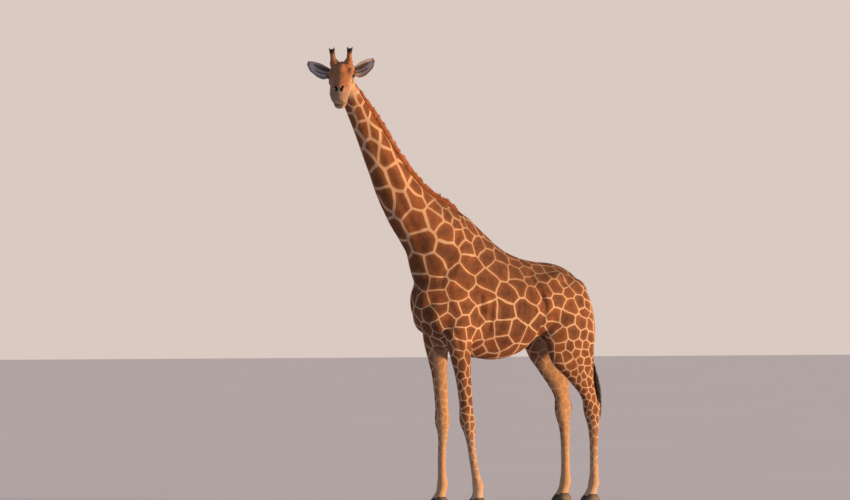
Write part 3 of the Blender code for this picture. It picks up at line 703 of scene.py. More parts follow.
def drawn_in(points, facing):
    """Skin points moved in by the coat's depth, but not off the flat soles that meet the hooves."""
    inward = facing * coat_depth(points)[:, None]
    inward[:, 2] *= smooth(0.088, 0.12, points[:, 2])
    return points - inward


def carve(mesh, points, relief):
    """Gives the mesh smoothed points, then their relief, and draws them in by the coat's depth."""
    move_to(mesh, points)
    points = relief(points, normals(mesh))
    move_to(mesh, points)
    move_to(mesh, drawn_in(points, normals(mesh)))


def body_skin():
    whole = melted("body_skin", [copy_of_node(name) for name in FLESH], BODY_VOXEL)
    mesh = whole.data
    points, edges = positions(mesh), edge_pairs(mesh)
    thin = tail_share(points)[:, None]
    carve(mesh, evened(points, edges, 30) * (1 - thin) + evened(points, edges, 5) * thin, relief_of_body)
    way = BODY.direction(COLLAR_UP)
    halved(whole, Vector(BODY.scene(COLLAR)) - Vector(way) * COLLAR_GAP, way, capped=False)
    return thinned(whole, SKIN_TRIANGLES * (1 - HEAD_SHARE))


def head_skin():
    flesh = melted("head_flesh", [copy_of_node("neck"), copy_of_node("head")], FLESH_VOXEL)
    move_to(flesh.data, evened(positions(flesh.data), edge_pairs(flesh.data), 22))
    halved(flesh, BODY.scene(NECK_FOOT), -BODY.direction(COLLAR_UP), capped=True)
    pieces = [flesh]
    for word, side in SIDES:
        stub = ossicone(f"stub_{word}", side, [*OSSICONE_SECTIONS[:4], *OSSICONE_STUB])
        pieces += [ear_shell(f"ear_{word}", side), stub, lids(f"lids_{word}", side)]
    whole = melted("head_skin", pieces, HEAD_VOXEL)
    mesh = whole.data
    carve(mesh, evened(positions(mesh), edge_pairs(mesh), 3), relief_of_head)
    halved(whole, BODY.scene(COLLAR), -BODY.direction(COLLAR_UP), capped=False)
    return thinned(whole, SKIN_TRIANGLES * HEAD_SHARE)


def whole_skin():
    """The skin of body and head joined by a narrow band of faces at the collar."""
    form = bmesh.new()
    for part in (body_skin(), head_skin()):
        form.from_mesh(part.data)
        bpy.data.objects.remove(part)
    rims = [edge for edge in form.edges if edge.is_boundary]
    bmesh.ops.bridge_loops(form, edges=rims)
    bmesh.ops.triangulate(form, faces=form.faces)
    bmesh.ops.recalc_face_normals(form, faces=form.faces)
    if form.calc_volume(signed=True) < 0:
        bmesh.ops.reverse_faces(form, faces=form.faces)
    mesh = bpy.data.meshes.new("skin")
    form.to_mesh(mesh)
    form.free()
    points, way = positions(mesh), unit(np.array(COLLAR_UP))
    height = BODY.inside(points) @ way - np.array(COLLAR) @ way
    band = bell(height, 0.012) * (np.abs(height) < 0.03)
    calm = smoothed(points, edge_pairs(mesh), 12)
    move_to(mesh, points + (calm - points) * band[:, None])
    mesh.shade_smooth()
    return linked("skin", mesh)


# ---- Lie of the coat and the unwrap of the skin --------------------------------------------------
UNWRAP_SIDE = 4.4  # metres of skin along each side of the unwrap's square
BONE_POINTS = 14


class Bone:
    """A line that the coat lies along. The skin round it unwraps to an angle round the line by a
    length along it, and past an open end the length goes on as over a ball."""

    def __init__(self, line, radii, top, chart, open_ends=(False, False), sag=0.0):
        self.line = curve_through(line, BONE_POINTS)
        self.radii = np.interp(np.linspace(0, 1, BONE_POINTS), np.linspace(0, 1, len(radii)), radii)
        steps = np.linalg.norm(np.diff(self.line, axis=0), axis=1)
        self.reaches = np.concatenate([[0], np.cumsum(steps)])
        self.top = unit(np.array(top, float))  # away from the seam
        self.corner, self.width, self.height, self.turned = chart
        self.open_ends = open_ends
        self.sag = sag  # how far the coat turns down from the line's own heading

    def near(self, points):
        """For each point: distance, radius there, reach, and middle and heading of the line."""
        best = np.full(len(points), np.inf)
        radius, reach = np.zeros(len(points)), np.zeros(len(points))
        middle, heading = np.zeros_like(points), np.zeros_like(points)
        for k, span in enumerate(np.diff(self.line, axis=0)):
            t = (points - self.line[k]) @ span / (span @ span)
            held = np.clip(t, 0, 1)
            at = self.line[k] + held[:, None] * span
            away = np.linalg.norm(points - at, axis=1)
            closer = away < best
            best[closer] = away[closer]
            radius[closer] = (self.radii[k] + held * (self.radii[k + 1] - self.radii[k]))[closer]
            loose = t if k == 0 else np.maximum(t, 0)
            loose = loose if k == len(self.line) - 2 else np.minimum(loose, 1)
            reach[closer] = (self.reaches[k] + loose * np.linalg.norm(span))[closer]
            middle[closer] = at[closer]
            heading[closer] = unit(span)
        return best, radius, reach, middle, heading

    def unwrapped(self, points):
        """Angle round the line, and place along the chart's height from 0 to 1."""
        _, _, reach, middle, heading = self.near(points)
        top = unit(self.top - heading * (heading @ self.top)[:, None])
        side = np.cross(heading, top)
        across = points - middle
        angle = np.arctan2((across * side).sum(axis=1), (across * top).sum(axis=1))
        aside = np.hypot((across * side).sum(axis=1), (across * top).sum(axis=1))
        first, last, total = self.radii[0], self.radii[-1], self.reaches[-1]
        if self.open_ends[0]:
            reach = np.where(reach < 0, -first * np.arctan2(-reach, aside), reach)
        if self.open_ends[1]:
            reach = np.where(reach > total, total + last * np.arctan2(reach - total, aside), reach)
        low = first * (1.6 if self.open_ends[0] else 0.6)
        high = total + last * (1.6 if self.open_ends[1] else 0.6)
        return angle, np.clip((reach + low) / (high + low), 0, 1)

    def chart(self, angle, share, corner):
        """Place in the unwrap's unit square."""
        first, second = (angle / (2 * math.pi) + 0.5) * self.width, share * self.height
        if self.turned:
            first, second = second, first
        return np.stack([first + corner[0], second + corner[1]], axis=-1) / UNWRAP_SIDE


def all_bones():
    body, head = BODY.scene, HEAD.scene
    bones = {
        "trunk": Bone(
            body([(0.85, 0, 1.98), (0.50, 0, 2.02), (0.10, 0, 1.93), (-0.20, 0, 1.92), (-0.42, 0, 1.90)]),
            (0.30, 0.36, 0.36, 0.34, 0.30), UP, ((0.02, 0.02), 2.4, 2.0, False), (True, True), 0.30,
        ),
        "neck": Bone(
            body([(1.93, 0.035, 3.86), (1.70, 0.01, 3.45), (1.42, 0, 2.95), (1.15, 0, 2.55),
                  (0.95, 0, 2.28)]),
            (0.10, 0.12, 0.17, 0.22, 0.28), (0.0, 0.5, 0.85), ((0.02, 2.10), 1.30, 2.20, True), sag=0.10,
        ),
        "head": Bone(
            head([(0.52, 0, -0.05), (0.30, 0, -0.03), (0.05, 0, -0.02)]),
            (0.055, 0.085, 0.115), HEAD.direction((0, 0, 1)), ((0.02, 3.45), 0.90, 1.30, True),
            (True, False),
        ),
        "tail": Bone(
            tail_line(),
            (0.035, 0.022), (0.0, -1.0, 0.0), ((4.20, 0.02), 0.14, 0.95, False),
        ),
    }
    corners = {"fore_left": (2.46, 0.02), "fore_right": (3.02, 0.02), "hind_left": (2.46, 1.85),
               "hind_right": (3.10, 1.85)}
    for name, corner in corners.items():
        halves = [f"leg_{name}_upper", f"leg_{name}_lower"]
        side = 1.0 if name.endswith("left") else -1.0
        line = slices(halves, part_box(halves[0])[1].z - 0.05, 0.11, 9)
        wide = (0.115, 0.075, 0.055, 0.045) if name.startswith("fore") else (0.15, 0.085, 0.055, 0.045)
        chart = (corner, 0.52 if name.startswith("fore") else 0.60, 1.75, False)
        bones[f"leg_{name}"] = Bone(line, wide, (side, 0, 0), chart)
    for number, (word, side) in enumerate(SIDES):
        root, along, _, facing = ear_frame(side)
        line = head([root + along * share for share in (0.18, 0.6, 0.97)])
        chart = ((1.50 + 1.00 * number, 3.45), 0.46, 0.44, False)
        bones[f"ear_{word}"] = Bone(line, (0.048, 0.062, 0.030), HEAD.direction(-facing), chart)
        base, lean, first, _ = ossicone_axis(side)
        line = head([base + lean * OSSICONE_HEIGHT * share for share in (0.02, 0.4, 0.84)])
        chart = ((3.52 + 0.34 * number, 3.45), 0.30, 0.44, False)
        bones[f"ossicone_{word}"] = Bone(line, (0.046, 0.034, 0.030), HEAD.direction(first), chart)
    return bones


EAR_BACK_STEP = 0.50  # the outer side of an ear lies beside the inner in the unwrap


def lay_of_coat(skin, bones):
    """The bone that each point of the skin belongs to, and the lie of the coat there."""
    mesh = skin.data
    points, facing, edges = positions(mesh), normals(mesh), edge_pairs(mesh)
    lie, best, owner = np.zeros_like(points), np.zeros(len(points)), np.zeros(len(points), int)
    for number, bone in enumerate(bones.values()):
        away, radius, _, _, heading = bone.near(points)
        closeness = radius / np.maximum(away, 1e-4)
        lie += (closeness**5)[:, None] * unit(heading + np.array([0, 0, -bone.sag]))
        nearer = closeness > best
        best[nearer], owner[nearer] = closeness[nearer], number
    lie = smoothed(unit(lie), edges, 14)
    lie += 0.10 * np.stack([wander(points, 0.16, seed) for seed in (31, 32, 33)], axis=1)
    return owner, unit(lie - facing * (lie * facing).sum(axis=1, keepdims=True))


def unwrap_of(skin, bones, owner):
    """Place of every triangle's corners in the unwrap, an array (triangles, 3, 2), and the same
    in metres round and along each bone, for the grain of the hair."""
    points, faces = positions(skin.data), corners_of(skin.data)
    across = np.cross(points[faces[:, 1]] - points[faces[:, 0]], points[faces[:, 2]] - points[faces[:, 0]])
    found, grain = np.zeros((2, len(faces), 3, 2))
    for number, (name, bone) in enumerate(bones.items()):
        mine = np.flatnonzero(owner[faces[:, 0]] == number)
        used, place = np.unique(faces[mine], return_inverse=True)
        angle, share = bone.unwrapped(points[used])
        angle, share = angle[place].reshape(-1, 3), share[place].reshape(-1, 3)
        split = (angle.max(axis=1) - angle.min(axis=1) > math.pi)[:, None]
        angle = np.minimum(np.where(split & (angle < 0), angle + 2 * math.pi, angle), math.pi + 0.2)
        spots = bone.chart(angle, share, bone.corner)
        if name.startswith("ear"):
            _, _, _, middle, _ = bone.near(points[faces[mine, 0]])
            outer = ((points[faces[mine, 0]] - middle) * across[mine]).sum(axis=1) > 0
            spots[outer, :, 0] += EAR_BACK_STEP / UNWRAP_SIDE
        found[mine] = spots
        grain[mine] = np.stack([angle * bone.width / (2 * math.pi), share * bone.height], axis=-1)
    return found, grain


# ---- Markings -----------------------------------------------------------------------------------
# How large the patches are at places seen from the side: forward and up, then a patch's width
# and its length along the coat, and half the width of the pale lines between patches.
PATCH_SIZES = [
    (1.93, 3.78, 0.085, 0.130, 0.0120),
    (1.72, 3.45, 0.110, 0.180, 0.0150),
    (1.48, 3.02, 0.140, 0.220, 0.0160),
    (1.22, 2.60, 0.190, 0.250, 0.0150),
    (0.98, 2.32, 0.220, 0.260, 0.0120),
    (1.05, 2.86, 0.110, 0.120, 0.0090),
    (0.66, 2.62, 0.115, 0.130, 0.0085),
    (0.60, 2.15, 0.210, 0.230, 0.0110),
    (0.25, 1.88, 0.195, 0.200, 0.0115),
    (0.40, 1.50, 0.150, 0.150, 0.0095),
    (0.45, 2.36, 0.120, 0.130, 0.0080),
    (0.10, 2.24, 0.110, 0.125, 0.0075),
    (-0.20, 2.27, 0.095, 0.120, 0.0075),
    (-0.45, 2.16, 0.095, 0.120, 0.0080),
    (-0.62, 1.85, 0.090, 0.110, 0.0080),
    (-0.22, 1.98, 0.150, 0.160, 0.0095),
    (-0.35, 1.68, 0.125, 0.130, 0.0090),
    (-0.40, 1.42, 0.080, 0.090, 0.0075),
    (-0.50, 1.15, 0.062, 0.072, 0.0075),
    (-0.50, 0.60, 0.055, 0.065, 0.0080),
    (1.20, 1.95, 0.120, 0.140, 0.0080),
    (1.02, 1.72, 0.120, 0.140, 0.0085),
    (0.84, 1.48, 0.085, 0.110, 0.0085),
    (0.80, 1.15, 0.062, 0.075, 0.0090),
    (0.80, 0.60, 0.052, 0.065, 0.0090),
]
PATCH_SPREAD = 0.84  # least distance between patch middles, in patch sizes
CORNER_ROUNDING = 0.011  # how far from a patch's corner its rounding starts
NEIGHBOURS = 12  # patches looked at round each point
TEAR_LINE = [(0.222, 0.008), (0.262, -0.016), (0.285, -0.030)]  # along and up, from the eye's corner


def patch_sizes(place):
    """Width, length and line width at body places, each a blend of the control spots."""
    table = np.array(PATCH_SIZES)
    away = np.hypot(place[:, :1] - table[:, 0], place[:, 2:] - table[:, 1])
    share = 1 / (away**3.5 + 1e-5)
    wide, long, line = np.exp((share / share.sum(axis=1, keepdims=True)) @ np.log(table[:, 2:])).T
    return wide, long, line * (1 - 0.24 * smooth(2.7, 2.1, place[:, 2]))


def patch_middles(points, lie, wide, long):
    """Points of the skin, tried in a seeded random order, of which each is kept when it is at least
    PATCH_SPREAD patch sizes from those kept before it."""
    free, middles = np.ones(len(points), bool), []
    wide, long, flat = wide.astype(np.float32), long.astype(np.float32), points.astype(np.float32)
    for index in np.random.default_rng(23).permutation(len(points)):
        if not free[index]:
            continue
        middles.append(index)
        away = flat - flat[index]
        along = away @ lie[index].astype(np.float32)
        rest = np.einsum("ij,ij->i", away, away) - along**2
        free &= (along / long[index]) ** 2 + rest / wide[index] ** 2 > PATCH_SPREAD**2
    return np.array(middles)


def patch_edges(points, facing, lie, wide, long, spots, faces):
    """For each corner of each triangle, metres past the three edges between the three patches
    nearest to the triangle, and the number of the patch nearest to each point.

    Places are measured in patch sizes along and across the lie at the point, and the edge between
    two patches lies half way between their middles. A reading is above 0 on the first one's side.
    """
    warped = points + 0.010 * np.stack([wander(points, 0.22, seed) for seed in (41, 42, 43)], axis=1)
    ways = (lie / long[:, None], np.cross(facing, lie) / wide[:, None], facing / wide[:, None])
    frames = np.stack(ways, axis=1)
    plain = ((spots**2).sum(axis=1) - 2 * warped @ spots.T).astype(np.float32)
    close = np.argpartition(plain, NEIGHBOURS, axis=1)[:, :NEIGHBOURS]
    scaled = np.einsum("vij,vsj->vsi", frames, spots[close] - warped[:, None])
    owner = close[np.arange(len(points)), (scaled**2).sum(axis=2).argmin(axis=1)]
    middle = warped[faces].mean(axis=1)
    near = close[faces[:, 0]]
    scaled = np.einsum("tij,tsj->tsi", frames[faces[:, 0]], spots[near] - middle[:, None])
    ranks = np.argsort((scaled**2).sum(axis=2), axis=1)[:, :3]
    trio = spots[np.take_along_axis(near, ranks, axis=1)]
    scaled = np.einsum("tcij,tcpj->tcpi", frames[faces], trio[:, None] - warped[faces][:, :, None])
    square = (scaled**2).sum(axis=3)
    edges = []
    for first, second in ((0, 1), (0, 2), (1, 2)):
        span = ((scaled[:, :, second] - scaled[:, :, first]) ** 2).sum(axis=2)
        real = np.linalg.norm(trio[:, second] - trio[:, first], axis=1)[:, None]
        edges.append((square[:, :, second] - square[:, :, first]) / (2 * span) * real)
    return np.stack(edges, axis=2), owner


def ear_marks(points, facing, side):
    """On the ear's two sides: how much a point is of the hollow, and the dark streaks in it."""
    root, along, down, front = ear_frame(side)
    place = HEAD.inside(points) - root
    share = place @ along / (along @ along)
    across = place @ down
    above, below, roll = ear_section(share)
    part = across / np.where(across > 0, below, above)
    radius = (above + below) / 2 / np.sin(np.clip(roll, 0.1, math.pi / 2))
    middle = along * share[:, None] + front * (radius - EAR_DISH)[:, None]
    inward = (facing * HEAD.direction(unit(middle - place))).sum(axis=1)
    hollow = smooth(-0.1, 0.3, inward) * smooth(1.02, 0.90, np.abs(part)) * smooth(0.00, 0.10, share)
    ribs = 0.5 + 0.5 * np.cos(2 * math.pi * part / 0.19)
    streaks = 2.0 * bell(part - 0.02, 0.32) * (1 - 0.60 * ribs * smooth(0.25, 0.6, share))
    streaks = streaks + 1.1 * bell(part - 0.60, 0.07) + 1.0 * bell(part + 0.58, 0.07)
    streaks = streaks * smooth(0.00, 0.10, share) * smooth(0.88, 0.64, share + 0.18 * np.abs(part))
    rim = smooth(0.74, 0.90, np.abs(part)) * smooth(0.05, 0.3, share)
    return hollow, hollow * np.clip(streaks, 0, 1), rim, share


def markings(skin, bones, owner, lie):
    """The edges at each corner, and three vectors at each vertex: marks (half width of the lines,
    a patch's tone, its strength), tints (brown, dark and grey of the face, where the dark also
    holds painted shade on the back, along the mouth and round the nostrils, and less brown leaves
    a painted highlight on the nostrils' rims) and ends (ear hollow, warmth of the pale coat, black
    of hair and of painted shade inside the nostrils)."""
    points, facing = positions(skin.data), normals(skin.data)
    place, head = BODY.inside(points), HEAD.inside(points)
    forward, left, up = place.T
    names = list(bones)
    wide, long, line = patch_sizes(place)
    middles = patch_middles(points, lie, wide, long)
    edges, patch = patch_edges(points, facing, lie, wide, long, points[middles], corners_of(skin.data))
    darker = smooth(2.9, 2.2, place[middles, 2])
    tone = (np.random.default_rng(5).uniform(0, 1, len(middles)) * 0.75 + 0.55 * darker - 0.25)[patch]
    inward = np.where(left > 0, -facing[:, 0], facing[:, 0])
    legs = np.isin(owner, [k for k, name in enumerate(names) if name.startswith("leg")])
    on_leg = smoothed(legs[:, None].astype(float), edge_pairs(skin.data), 40)[:, 0]
    fore = forward > 0.45
    low = np.where(fore, smooth(0.25, 1.00, up), smooth(0.30, 0.95, up))
    inner = on_leg * smooth(0.15, 0.75, inward) * smooth(1.70, 1.35, up + 0.10 * wander(points, 0.20, 52))
    between = smooth(0.16, 0.10, np.abs(left)) * smooth(1.62, 1.50, up) * smooth(0.35, 0.15, forward)
    inner = np.maximum(inner, between * smooth(-0.2, 0.3, inward))
    strength = (0.34 + 0.66 * low) * (1 - 0.64 * inner)
    strength *= np.where(up < 0.32, smooth(0.10, 0.32, up), 1.0)
    seat = smooth(0.30, 0.80, facing[:, 1]) * smooth(-0.50, -0.62, forward)
    strength *= 1 - 0.65 * seat * smooth(1.35, 1.60, up) * smooth(2.10, 1.95, up)
    along, _, high = head.T
    on_head = smooth(-0.02, 0.07, along + 0.25 * np.minimum(high, 0)) * headness(head)
    strength *= 1 - 0.88 * on_head
    for name in ("ear_left", "ear_right", "ossicone_left", "ossicone_right"):
        strength = np.where(owner == names.index(name), 0.0, strength)
    marks = np.stack([line, tone, strength], axis=1)
    ridge = np.interp(along, (0.0, 0.15, 0.30, 0.45, 0.60), (0.02, 0.035, 0.012, -0.012, -0.04))
    brown = smooth(-0.020, 0.028, high - ridge + 0.010 * wander(points, 0.06, 51)) * on_head
    brown *= smooth(0.62, 0.52, along)
    muzzle = smooth(0.40, 0.53, along + 0.35 * -(high + 0.05)) * on_head
    eye = folded(head) - EYE_PLACE
    surround = 0.9 * bell(np.linalg.norm(eye * (0.75, 0.8, 1.15) - (0.004, 0, -0.002), axis=1), 0.034)
    tear = bell(polyline_distance(head[:, [0, 2]], TEAR_LINE)[0], 0.010)
    dark = np.maximum(surround, 0.75 * tear * smooth(0.05, 0.08, np.abs(head[:, 1])))
    level, lips = mouth_level(head)
    # Painted shade: a dark band along the crease of the mouth.
    dark = np.maximum(dark, 0.90 * lips * bell(level, 0.0075) * on_head)
    # Painted shade: skin of the back and croup that faces up, behind the withers, is darkened towards the
    # dark tint.
    painted_shade_on_back = smooth(0.05, 0.65, facing[:, 2]) * smooth(1.9, 2.1, up) * smooth(1.30, 0.95, forward)
    dark = np.maximum(dark, 0.52 * painted_shade_on_back)
    hollow, black = np.zeros(len(points)), np.zeros(len(points))
    for word, side in SIDES:
        mine = owner == names.index(f"ear_{word}")
        cup, streak, rim, share = ear_marks(points[mine], facing[mine], side)
        hollow[mine] = cup
        dark[mine] = np.maximum(np.maximum(streak, 0.55 * rim), 0.5 * smooth(0.86, 0.99, share))
        brown[mine] = 0.30 * (1 - cup)
        mine = owner == names.index(f"ossicone_{word}")
        base, lean, _, _ = ossicone_axis(side)
        rise = (head[mine] - base) @ lean / OSSICONE_HEIGHT
        brown[mine] = np.maximum(brown[mine], smooth(-0.35, -0.05, rise))
        black[mine] = smooth(*OSSICONE_BLACK, rise)
    tail = owner == names.index("tail")
    black[tail] = smooth(1.42, 1.24, points[tail, 2])
    # Painted shade: black inside the nostril's hollow, carried in the black of the ends, and a dark band
    # round its slit.
    slit, _ = polyline_distance(folded(head), NOSTRIL)
    deep = [polyline_distance(folded(head) - np.array(NOSTRIL_DEPTH) * part, NOSTRIL)[0]
            for part in (0.4, 0.7, 1.0)]
    nostril = smooth(0.0125, 0.0090, np.min(deep, axis=0))
    dark = np.maximum(dark, 0.55 * bell(slit - 0.010, 0.010) * on_head)
    # Painted highlight: the brown tint is taken off the nostril's raised rim, which leaves a paler ring.
    brown *= 1 - 0.8 * bell(slit - 0.018, 0.007)
    warm = smooth(1.2, 2.2, up) * smooth(0.9, 0.2, -facing[:, 2])
    warm = np.maximum(warm * 0.55, on_leg * (0.55 + 0.35 * inner))
    warm = np.maximum(warm * (1 - on_head), 0.45 * on_head)
    return edges, {
        "marks": marks,
        "tints": np.stack([np.clip(brown, 0, 1), np.clip(dark, 0, 1), np.clip(muzzle, 0, 1)], axis=1),
        "ends": np.stack([hollow, warm, np.maximum(black, nostril)], axis=1),
    }


# ---- Locks of hair ------------------------------------------------------------------------------
def give(mesh, values, domain="POINT"):
    """Puts arrays on the mesh as attributes: rows of three as vectors, others as numbers."""
    for name, array in values.items():
        kind, field = ("FLOAT_VECTOR", "vector") if array.ndim == 2 else ("FLOAT", "value")
        made = mesh.attributes.new(name, kind, domain)
        made.data.foreach_set(field, np.ascontiguousarray(array, np.float32).ravel())


def give_map(mesh, name, spots):
    """Puts places of the face corners on the mesh as a UV map."""
    made = mesh.uv_layers.new(name=name)
    made.data.foreach_set("uv", np.ascontiguousarray(spots, np.float32).ravel())


LOCK_PATCH = 0.003  # width of one lock's patch in the unwrap


def locks(name, paths, out, widths, spots, values, thick=0.4):
    """Solid locks of hair as one mesh. Each lock follows a row of points. Its section is a
    triangle, flat beneath and raised along the middle, that shrinks to a point at the last one."""
    count, stations = paths.shape[0], paths.shape[1] - 1
    ahead = unit(paths[:, 1:] - paths[:, :-1])
    aside = unit(np.cross(out[:, None], ahead))
    above = np.cross(ahead, aside)
    half = widths[..., None] / 2
    rings = np.stack([
        paths[:, :-1] - aside * half,
        paths[:, :-1] + aside * half,
        paths[:, :-1] + above * half * 2 * thick,
    ], axis=2)
    points = np.concatenate([rings.reshape(count, -1, 3), paths[:, -1:]], axis=1)
    size = 3 * stations + 1
    walls = [(3 * k + a, 3 * k + b, 3 * k + b + 3, 3 * k + a + 3)
             for k in range(stations - 1) for a, b in ((0, 1), (1, 2), (2, 0))]
    last = 3 * stations - 3
    ends = [(2, 1, 0)] + [(last + a, last + b, last + 3) for a, b in ((0, 1), (1, 2), (2, 0))]
    first = (np.arange(count) * size)[:, None, None]
    faces = [(np.array(block) + first).reshape(-1, len(block[0])) for block in (walls, ends) if block]
    made = linked(name, mesh_of(name, points.reshape(-1, 3), faces))
    rise = np.append(np.repeat(np.arange(stations) / stations, 3), 1.0)
    spread = {key: np.repeat(array, size, axis=0) for key, array in values.items()}
    give(made.data, {**spread, "rise": np.tile(rise, count)})
    local = np.stack([np.append(np.tile([-1.0, 1.0, 0.0], stations), 0.0), 2 * rise - 1], axis=1)
    places = (spots[:, None] + LOCK_PATCH / 2 * local).reshape(-1, 2)
    give_map(made.data, "OFBake", places[corner_row(made.data)])
    return made


ROOT_DENSITY = 1.5  # roots tried for each cell of the lattice
LIE_SCATTER = 0.10  # how far single tufts stray from the lie


class Ground:
    """A surface that hair grows on: a mesh of triangles, with the lie and values of its vertices
    and the patch edges and unwrap of its triangles' corners."""

    def __init__(self, piece, owner, lie, values, edges, spots):
        self.points, self.facing = positions(piece.data), normals(piece.data)
        self.faces = corners_of(piece.data)
        self.owner, self.lie, self.values, self.edges, self.spots = owner, lie, values, edges, spots

    def roots(self, cell, seed, wanted):
        """Spots spread over the triangles whose first corner is wanted: random by area, and then
        thinned to one in each cell of a fine lattice. Gives triangle numbers and weights."""
        random = np.random.default_rng(seed)
        mine = np.flatnonzero(wanted[self.faces[:, 0]])
        a, b, c = (self.points[self.faces[mine, k]] for k in range(3))
        area = np.linalg.norm(np.cross(b - a, c - a), axis=1) / 2
        count = int(area.sum() / cell**2 * ROOT_DENSITY)
        chosen = np.searchsorted(np.cumsum(area), random.uniform(0, area.sum(), count))
        chosen = np.minimum(chosen, len(mine) - 1)
        first, second = np.sqrt(random.uniform(0, 1, count)), random.uniform(0, 1, count)
        weights = np.stack([1 - first, first * (1 - second), first * second], axis=1)
        places = (self.points[self.faces[mine[chosen]]] * weights[..., None]).sum(axis=1)
        keys = np.floor(places / cell).astype(np.int64) @ np.array([1, 4096, 16777216])
        _, kept = np.unique(keys, return_index=True)
        kept = random.permutation(kept)
        return mine[chosen[kept]], weights[kept]

    def read(self, array, triangle, weights):
        """Values at roots, from an array at the vertices."""
        weights = weights if array.ndim == 1 else weights[..., None]
        return (array[self.faces[triangle]] * weights).sum(axis=1)

    def coat(self, name, cell, wanted, seed):
        """Short tufts over the wanted part. A tuft starts under the skin, half its length uphill
        of the spot whose markings it carries, and its tip stands off by the lift."""
        random = np.random.default_rng(seed + 1)
        triangle, weights = self.roots(cell, seed, wanted)
        surface = (self.points, self.facing, self.lie)
        place, facing, lie = (self.read(item, triangle, weights) for item in surface)
        facing = unit(facing)
        lie = lie + LIE_SCATTER * random.normal(size=lie.shape)
        lie = unit(lie - facing * (lie * facing).sum(axis=1, keepdims=True))
        head = HEAD.inside(place)
        size = np.exp(random.normal(0, 0.16, len(place)))
        long = tuft_length(place, head) * size
        wide = tuft_width(head) * np.exp(random.normal(0, 0.15, len(place)))
        high = tuft_lift(place, head) * random.uniform(0.55, 1.0, len(place))
        root = place - lie * (long * 0.45)[:, None] - facing * (0.35 * wide)[:, None]
        tip = place + lie * (long * 0.55)[:, None] + facing * high[:, None]
        values = {key: self.read(array, triangle, weights) for key, array in self.values.items()}
        values["shade"] = random.uniform(0, 1, len(place))
        values["edges"] = (self.edges[triangle] * weights[..., None]).sum(axis=1)
        spots = (self.spots[triangle] * weights[..., None]).sum(axis=1)
        return locks(name, np.stack([root, tip], axis=1), facing, wide[:, None], spots, values, thick=0.24)


# ---- Materials ----------------------------------------------------------------------------------
class Value:
    """A number or colour that varies over a surface. Sums and products on it add Math nodes."""

    def __init__(self, finish, socket):
        self.finish, self.socket = finish, socket

    def _maths(self, operation, first, second):
        return self.finish.node("ShaderNodeMath", {"operation": operation}, {0: first, 1: second})

    def __add__(self, other):
        return self._maths("ADD", self, other)

    def __radd__(self, other):
        return self._maths("ADD", other, self)

    def __sub__(self, other):
        return self._maths("SUBTRACT", self, other)

    def __rsub__(self, other):
        return self._maths("SUBTRACT", other, self)

    def __mul__(self, other):
        return self._maths("MULTIPLY", self, other)

    def __rmul__(self, other):
        return self._maths("MULTIPLY", other, self)

    def __pow__(self, other):
        return self._maths("POWER", self, other)


class Finish:
    """A material. Constants are set on its shader's own sockets, and the rest is nodes."""

    def __init__(self, name, constants):
        self.material = bpy.data.materials.new(name)
        self.material.use_nodes = True
        self.tree = self.material.node_tree
        self.tree.nodes.clear()
        self.shader = self.tree.nodes.new("ShaderNodeBsdfPrincipled")
        output = self.tree.nodes.new("ShaderNodeOutputMaterial")
        self.tree.links.new(self.shader.outputs["BSDF"], output.inputs["Surface"])
        self.set(constants)

    def set(self, sockets, node=None):
        """Puts values or links on the sockets of a node, or of the shader."""
        node = node or self.shader
        for key, value in sockets.items():
            if isinstance(value, Value):
                self.tree.links.new(value.socket, node.inputs[key])
            else:
                node.inputs[key].default_value = value

    def node(self, kind, settings, sockets, output=0):
        made = self.tree.nodes.new(kind)
        for key, value in settings.items():
            setattr(made, key, value)
        self.set(sockets, made)
        return Value(self, made.outputs[output])

    def object_place(self):
        return self.node("ShaderNodeTexCoord", {}, {}, "Object")

    def attribute(self, name, output="Vector"):
        return self.node("ShaderNodeAttribute", {"attribute_name": name}, {}, output)

    def parts(self, name):
        """The three numbers of a vector attribute."""
        split = self.node("ShaderNodeSeparateXYZ", {}, {0: self.attribute(name)}).socket.node
        return [Value(self, split.outputs[k]) for k in range(3)]

    def mix(self, factor, first, second):
        """The first colour at factor 0 and the second at 1; sockets 6, 7 and 2 are its colours."""
        first, second = (item if isinstance(item, Value) else (*item, 1.0) for item in (first, second))
        settings = {"data_type": "RGBA", "clamp_factor": True}
        return self.node("ShaderNodeMix", settings, {0: factor, 6: first, 7: second}, 2)

    def noise(self, place, scale, detail=2.0, roughness=0.5, distortion=0.0):
        sockets = {"Vector": place, "Scale": scale, "Detail": detail, "Roughness": roughness,
                   "Distortion": distortion}
        return self.node("ShaderNodeTexNoise", {}, sockets)

    def stretched(self, place, sizes):
        return self.node("ShaderNodeVectorMath", {"operation": "MULTIPLY"}, {0: place, 1: sizes})

    def step(self, value, low, high):
        """0 below low and 1 above high, smoothly; the other way round if high is the lower."""
        settings = {"interpolation_type": "SMOOTHSTEP", "clamp": True}
        return self.node("ShaderNodeMapRange", settings, {0: value, 1: low, 2: high, 3: 0.0, 4: 1.0})

    def brightened(self, colour, amount):
        return self.node("ShaderNodeHueSaturation", {}, {"Value": amount, "Color": colour})

    def bumped(self, height, strength, distance):
        sockets = {"Strength": strength, "Distance": distance, "Height": height}
        self.set({"Normal": self.node("ShaderNodeBump", {}, sockets)})


CREAM, TAN = (0.560, 0.420, 0.310), (0.520, 0.300, 0.145)
PATCH_RIM, PATCH_CORE = (0.250, 0.082, 0.024), (0.072, 0.026, 0.012)
FACE_BROWN, MUZZLE_GREY = (0.345, 0.126, 0.046), (0.290, 0.190, 0.130)
# The dark colour gives real dark marks and also painted shade on the back, along the mouth and round the
# nostrils; the black gives black hair and painted shade inside the nostrils.
DARK_MARKS_AND_PAINTED_SHADE, BLACK_HAIR_AND_PAINTED_SHADE, HOLLOW_GREY = (0.030, 0.020, 0.015), (0.010, 0.008, 0.007), (0.600, 0.550, 0.590)


